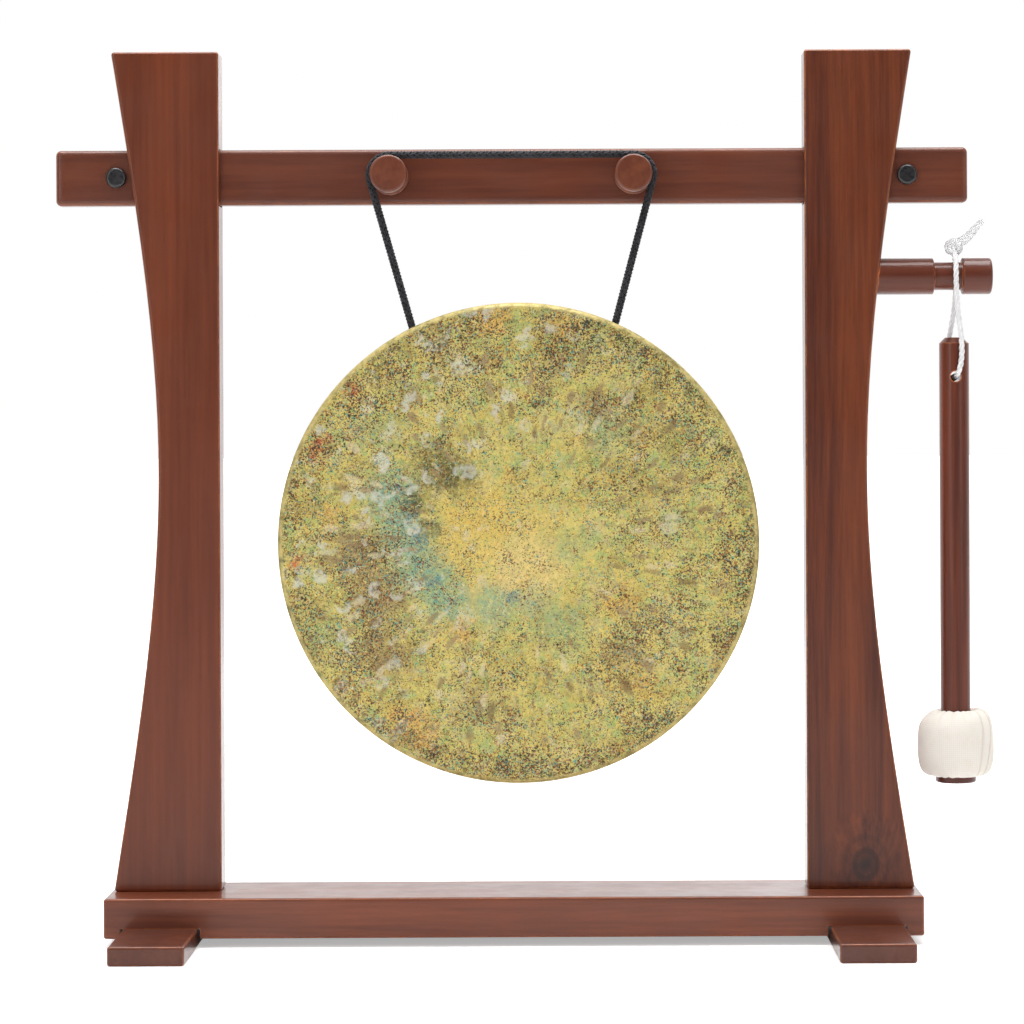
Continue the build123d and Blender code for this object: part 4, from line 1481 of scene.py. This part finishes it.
@dataclass
class Mallet:
    """The hanging mallet: turned handle, cotton wrap over its felt core, and end cap."""

    axis_x: float = 228.5 * MM
    axis_y: float = 5.0 * MM
    bottom: float = 84.3 * MM
    top: float = 120.9 * MM
    radius: float = 20.0 * MM
    handle: float = 7.9 * MM
    ribs: int = 118
    steps: int = 472
    seed: int = 3

    def build(self) -> bpy.types.Object:
        """Makes the wrap and dresses the hard pieces.

        Returns:
            The wrap.
        """
        self.dress_hard()
        wrap = self.wrap()
        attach(wrap, "mallet")
        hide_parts("mallet_wrap")
        return wrap

    def dress_hard(self) -> None:
        """Gives the handle, the cap and the core their finishes."""
        turned = LacqueredWood(
            "mallet_handle_wood",
            Grain.UPRIGHT,
            (self.axis_x, self.axis_y, 0.2),
            light=tone(120, 56, 32),
            dark=tone(60, 25, 17),
            edge=tone(206, 118, 62),
            figure=0.75,
            wear=1.3,
            haze=0.0,
            gloss=0.36,
            polish=0.2,
        )
        dress("mallet_handle", turned.material())
        cap = LacqueredWood(
            "mallet_cap_wood", Grain.UPRIGHT, (
                self.axis_x, self.axis_y, 0.08,
            ), light=tone(88, 38, 28), dark=tone(56, 24, 20), wear=0.4
        )
        dress("mallet_end_cap", cap.material())
        felt = PlainHard("felt_core", tone(206, 196, 176), tone(180, 168, 146), rough=0.9, size=1 * MM)
        dress("mallet_core", felt.material())

    def profile(self) -> list[tuple[float, float]]:
        """The wrap's section from under its lower edge, out over the barrel, to its gathered top.

        Returns:
            Points of the section.
        """
        outline = (
            (9.2, 1.6),
            (9.2, 0.4),
            (11.0, 0.0),
            (13.8, 0.1),
            (16.8, 1.3),
            (18.7, 4.2),
            (19.6, 8.6),
            (20.0, 13.5),
            (20.0, 18.5),
            (19.9, 23.5),
            (19.3, 27.6),
            (17.8, 31.2),
            (15.2, 33.8),
            (12.4, 34.9),
            (10.4, 35.0),
            (8.9, 34.4),
            (8.15, 33.2),
            (8.0, 31.0),
        )
        curve = Route("wrap_section", tuple((r * MM, 0.0, z * MM) for r, z in outline)).line()
        return [(p[0], self.bottom + p[2]) for p in evenly(curve, 0.62 * MM)]

    def wrap(self) -> bpy.types.Object:
        """The cotton sleeve with its ribs, creases, scalloped gathers and wavy lower edge.

        Returns:
            The cover.
        """
        shape = spun(self.profile(), self.steps, Matrix.Identity(4))
        bmesh.ops.bridge_loops(shape, edges=[e for e in shape.edges if e.is_boundary])
        bmesh.ops.recalc_face_normals(shape, faces=shape.faces[:])
        uv = shape.loops.layers.uv.new("wrap")
        painted_crease_shade = shape.verts.layers.float.new("painted_crease_shade")
        tall = self.top - self.bottom
        creases = (
            (0.66, 0.08, 0.55),
            (1.02, 0.13, 0.85),
            (1.27, 0.18, 0.6),
            (1.62, 0.12, 0.7),
            (2.7, -0.08, 0.4),
            (4.05, 0.06, 0.5),
            (5.75, -0.07, 0.08),
        )
        for vertex in shape.verts:
            radius = Vector((vertex.co.x, vertex.co.y)).length
            if radius < 1e-6:
                continue
            angle = math.atan2(vertex.co.y, vertex.co.x)
            share = (vertex.co.z - self.bottom) / tall
            face = (angle + math.pi / 2) % math.tau
            out = Vector((vertex.co.x / radius, vertex.co.y / radius, 0))
            rib = math.cos(self.ribs * angle + 1.2 * math.sin(share * 5 + 3 * angle))
            side = min(1.0, max(0.0, (radius - 10 * MM) / (5 * MM)))
            push = 0.10 * MM * rib * side
            dip = 0.0
            for place, bow, depth in creases:
                offset = (face - place - bow * math.sin((share - 0.5) * 2.4) + math.pi) % math.tau - math.pi
                groove = math.exp(-((offset * 20 / 0.75) ** 2)) * side
                shoulder = math.exp(-((offset * 20 / 3.2) ** 2)) * side
                dip += groove * depth
                push += (0.35 * shoulder - 0.8 * groove) * depth * MM
            ends = math.exp(-(((1 - share) * tall - 0.6 * MM) / (4.5 * MM)) ** 2)
            gather = math.cos(
                23 * angle + 2.1 * math.sin(2 * angle) + 1.3 * math.sin(5 * angle)
            ) * (0.6 + 0.4 * math.sin(3 * angle + 1))
            push += 0.26 * MM * ends * gather
            low = math.exp(-((share * tall) / (3.0 * MM)) ** 2)
            scallop = math.cos(13 * angle + 2.2 * math.sin(3 * angle)) * (0.5 + 0.5 * math.sin(2 * angle))
            lump = noise.noise(Vector((out.x * 2.1, out.y * 2.1, share * 2.3)))
            push += 0.55 * MM * lump * side
            vertex.co += out * push
            vertex.co.z += 0.35 * MM * ends * gather + 0.26 * MM * low * scallop
            vertex.co.z += 1.4 * MM * share**2 * (out.x - 0.1) * side
            # Painted shade for the knit's colour: crease depth, plus the hollows between the gathers at the top.
            vertex[painted_crease_shade] = min(1.0, dip + 0.35 * ends * max(0.0, -gather))
        for shape_face in shape.faces:
            angles = [math.atan2(loop.vert.co.y, loop.vert.co.x) / math.tau for loop in shape_face.loops]
            wraps = max(angles) - min(angles) > 0.5
            for loop, angle in zip(shape_face.loops, angles):
                turned = angle + 1 if wraps and angle < 0 else angle
                loop[uv].uv = (turned, (loop.vert.co.z - self.bottom) / tall)
        bmesh.ops.translate(shape, vec=(self.axis_x, self.axis_y, 0), verts=shape.verts[:])
        return put(shape, "mallet_cotton", KnittedCotton("cotton_knit", self.ribs // 2, 34).material())


# ---------------------------------------------------------------- stand


@dataclass
class Stand:
    """The wooden frame: base, feet, posts, crossbar, pegs and its fasteners, all carried over from the CAD."""

    right_knot: Point = (0.1795, -0.0158, 0.0385)

    def build(self) -> None:
        """Dresses every piece of the stand."""
        for name, finish in self.woods().items():
            dress(name, finish.material())
        pin = PlainHard("black_pin", tone(38, 36, 38), tone(20, 19, 21), rough=0.32, coat=0.3, size=2 * MM).material()
        for name in ("lock_pin_left", "lock_pin_right"):
            dress(name, pin)
        steel = PlainHard(
            "zinc_steel", tone(196, 198, 204), tone(150, 152, 158), metallic=1.0, rough=0.34, size=3 * MM,
        ).material()
        for name in ("post_bolts", "post_insert_nuts", "foot_screws"):
            dress(name, steel)
        pale = LacqueredWood(
            "pale_dowel", Grain.UPRIGHT, (0, 0, 0), light=tone(
                214, 184, 140,
            ), dark=tone(184, 150, 104), edge=tone(226, 200, 160), haze=0.0, gloss=0.6
        )
        dress("post_dowels", pale.material())

    def woods(self) -> dict[str, LacqueredWood]:
        """The finish of each wooden piece by its node's name.

        Returns:
            Finishes by node name.
        """
        across, deep, up = Grain.ALONG_LENGTH, Grain.ALONG_DEPTH, Grain.UPRIGHT
        return {
            "base_board": LacqueredWood(
                "base_wood", across, (0.05, 0, 0.02), square=True, light=tone(137, 73, 48), figure=0.55, haze=0.2,
            ),
            "foot_left": LacqueredWood(
                "foot_wood_left", deep, (-0.17, 0, 0), square=True, light=tone(104, 58, 42), figure=0.5, haze=0.4,
            ),
            "foot_right": LacqueredWood(
                "foot_wood_right", deep, (0.14, 0, 0), square=True, light=tone(104, 58, 42), figure=0.5, haze=0.4,
            ),
            "post_left": LacqueredWood(
                "post_wood_left", up, (-0.18, 0, 0.3), square=True, light=tone(120, 59, 34), figure=0.5, haze=0.06,
            ),
            "post_right": LacqueredWood(
                "post_wood_right", up, (0.3, 0.1, 0.1), square=True, light=tone(120, 59, 31), figure=0.9,
                waviness=1.6, haze=0.08, edge=tone(196, 112, 48), knot=self.right_knot,
            ),
            "crossbar": LacqueredWood(
                "bar_wood",
                across,
                (0.1, 0, 0.4),
                square=True,
                soften=4 * MM,
                wear=0.35,
                light=tone(114, 60, 40),
                figure=0.55,
                haze=0.2,
            ),
            # The pegs' edge colour, strongest on the mallet peg, is partly wear and partly a painted highlight on their
            # rounded rims.
            "rope_peg_left": LacqueredWood("peg_wood_left", deep, (-0.07, 0, 0.4), light=tone(122, 66, 44), figure=0.5),
            "rope_peg_right": LacqueredWood(
                "peg_wood_right", deep, (0.06, 0, 0.39), light=tone(122, 66, 44), figure=0.5,
            ),
            "mallet_peg": LacqueredWood(
                "mallet_peg_wood",
                across,
                (0.2, 0, 0.35),
                light=tone(106, 52, 34),
                edge=tone(204, 108, 54),
                figure=0.5,
                haze=0.1,
                wear=1.3,
            ),
        }


# ---------------------------------------------------------------- studio


@dataclass
class Studio:
    """A white sweep, soft lights and the camera."""

    eye: Point = (0.0224, -1.691, 0.269)
    lens: float = 112.0
    shift: tuple[float, float] = (-0.0539, -0.080)
    roll: float = 0.25
    floor: float = 60.0

    def build(self) -> None:
        """Makes the floor, the world, the lights and the camera."""
        self.lay_floor()
        self.light_world()
        self.light("key", (-1.35, -1.75, 1.0), (0, 0, 0.25), (0.7, 1.8), 10.9)
        self.light("fill", (1.7, -1.5, 0.9), (0, 0, 0.25), (0.8, 1.6), 6.3)
        self.light("top", (0.0, -0.05, 1.7), (0, 0, 0), (1.6, 0.8), 31)
        self.light("rear", (0.9, 2.2, 1.2), (0, 0, 0.2), (1.6, 1.2), 9)
        self.hang_camera()
        bpy.context.scene.view_settings.view_transform = "Standard"

    def lay_floor(self) -> None:
        """A plain white floor that glows behind the stand, and seen from afar fades into the room."""
        shape = bmesh.new()
        bmesh.ops.create_grid(shape, x_segments=2, y_segments=2, size=self.floor / 2)
        material, tree, shader, place = start_material("studio_floor")
        faint = tree.span(tree.noise(place, 0.4, 2), 0.3, 0.7)
        tree.feed(shader.inputs["Base Color"], tree.mix(faint, tone(246, 246, 246), tone(250, 250, 250)))
        shader.inputs["Roughness"].default_value = 0.9
        shader.inputs["Specular IOR Level"].default_value = 0.1
        depth = tree.add("SeparateXYZ")
        tree.feed(depth.inputs[0], place)
        behind = tree.span(depth.outputs[1], 0.15, 1.6, (0.0, 0.55))
        away = tree.span(tree.vector("LENGTH", place).outputs["Value"], 0.5, 2.0, (0.4, 1.0))
        seen = tree.times(tree.add("LightPath").outputs["Is Camera Ray"], away)
        glow = tree.math("MAXIMUM", behind, seen)
        tree.feed(shader.inputs["Emission Color"], tree.mix(glow, (0.0, 0.0, 0.0, 1.0), (1.0, 1.0, 1.0, 1.0)))
        shader.inputs["Emission Strength"].default_value = 1.0
        floor = put(shape, "studio_floor", material)

    def light_world(self) -> None:
        """A white room that is brighter behind the stand than in front of it."""
        world = bpy.data.worlds.new("studio")
        bpy.context.scene.world = world
        world.use_nodes = True
        tree = Tree(world.node_tree)
        sky = world.node_tree.nodes["Background"]
        seen = tree.add("LightPath").outputs["Is Camera Ray"]
        ways = tree.add("SeparateXYZ")
        tree.feed(ways.inputs[0], tree.add("TexCoord").outputs["Generated"])
        behind = tree.span(ways.outputs[1], -0.35, 0.55)
        over = tree.span(ways.outputs[2], 0.0, 0.9, (0.0, 0.25))
        room = tree.mix(behind, tone(92, 92, 96), tone(255, 255, 255))
        room = tree.mix(over, room, tone(255, 255, 255))
        tree.feed(sky.inputs["Color"], tree.mix(seen, room, (1.0, 1.0, 1.0, 1.0)))
        sky.inputs["Strength"].default_value = 1.0

    def light(self, name: str, place: Point, aim: Point, size: tuple[float, float], power: float) -> None:
        """A soft light panel.

        Args:
            name: The light's name.
            place: Where it hangs.
            aim: The point that it faces.
            size: Width and height in metres.
            power: Watts.
        """
        lamp = bpy.data.lights.new(name, "AREA")
        lamp.shape, lamp.energy = "RECTANGLE", power
        lamp.size, lamp.size_y = size
        holder = bpy.data.objects.new(name, lamp)
        holder.location = place
        holder.rotation_euler = (Vector(aim) - Vector(place)).to_track_quat("-Z", "Y").to_euler()
        holder.visible_camera = False
        bpy.context.scene.collection.objects.link(holder)

    def hang_camera(self) -> None:
        """A camera at mid height, square to the front and turned a quarter of a degree about its axis."""
        camera = bpy.data.cameras.new("camera")
        camera.lens, camera.sensor_width = self.lens, 36.0
        camera.shift_x, camera.shift_y = self.shift
        holder = bpy.data.objects.new("camera", camera)
        holder.location = self.eye
        holder.rotation_euler = (math.radians(90), math.radians(self.roll), 0)
        bpy.context.scene.collection.objects.link(holder)
        bpy.context.scene.camera = holder


def main() -> None:
    """Builds every sub-assembly in order, then the studio."""
    logging.basicConfig(level=logging.INFO, format="%(name)s %(message)s")
    build_shared_groups()
    GongRope().build()
    MalletCord().build()
    Gong().build()
    Mallet().build()
    Stand().build()
    Studio().build()


if __name__ == "__main__":
    main()
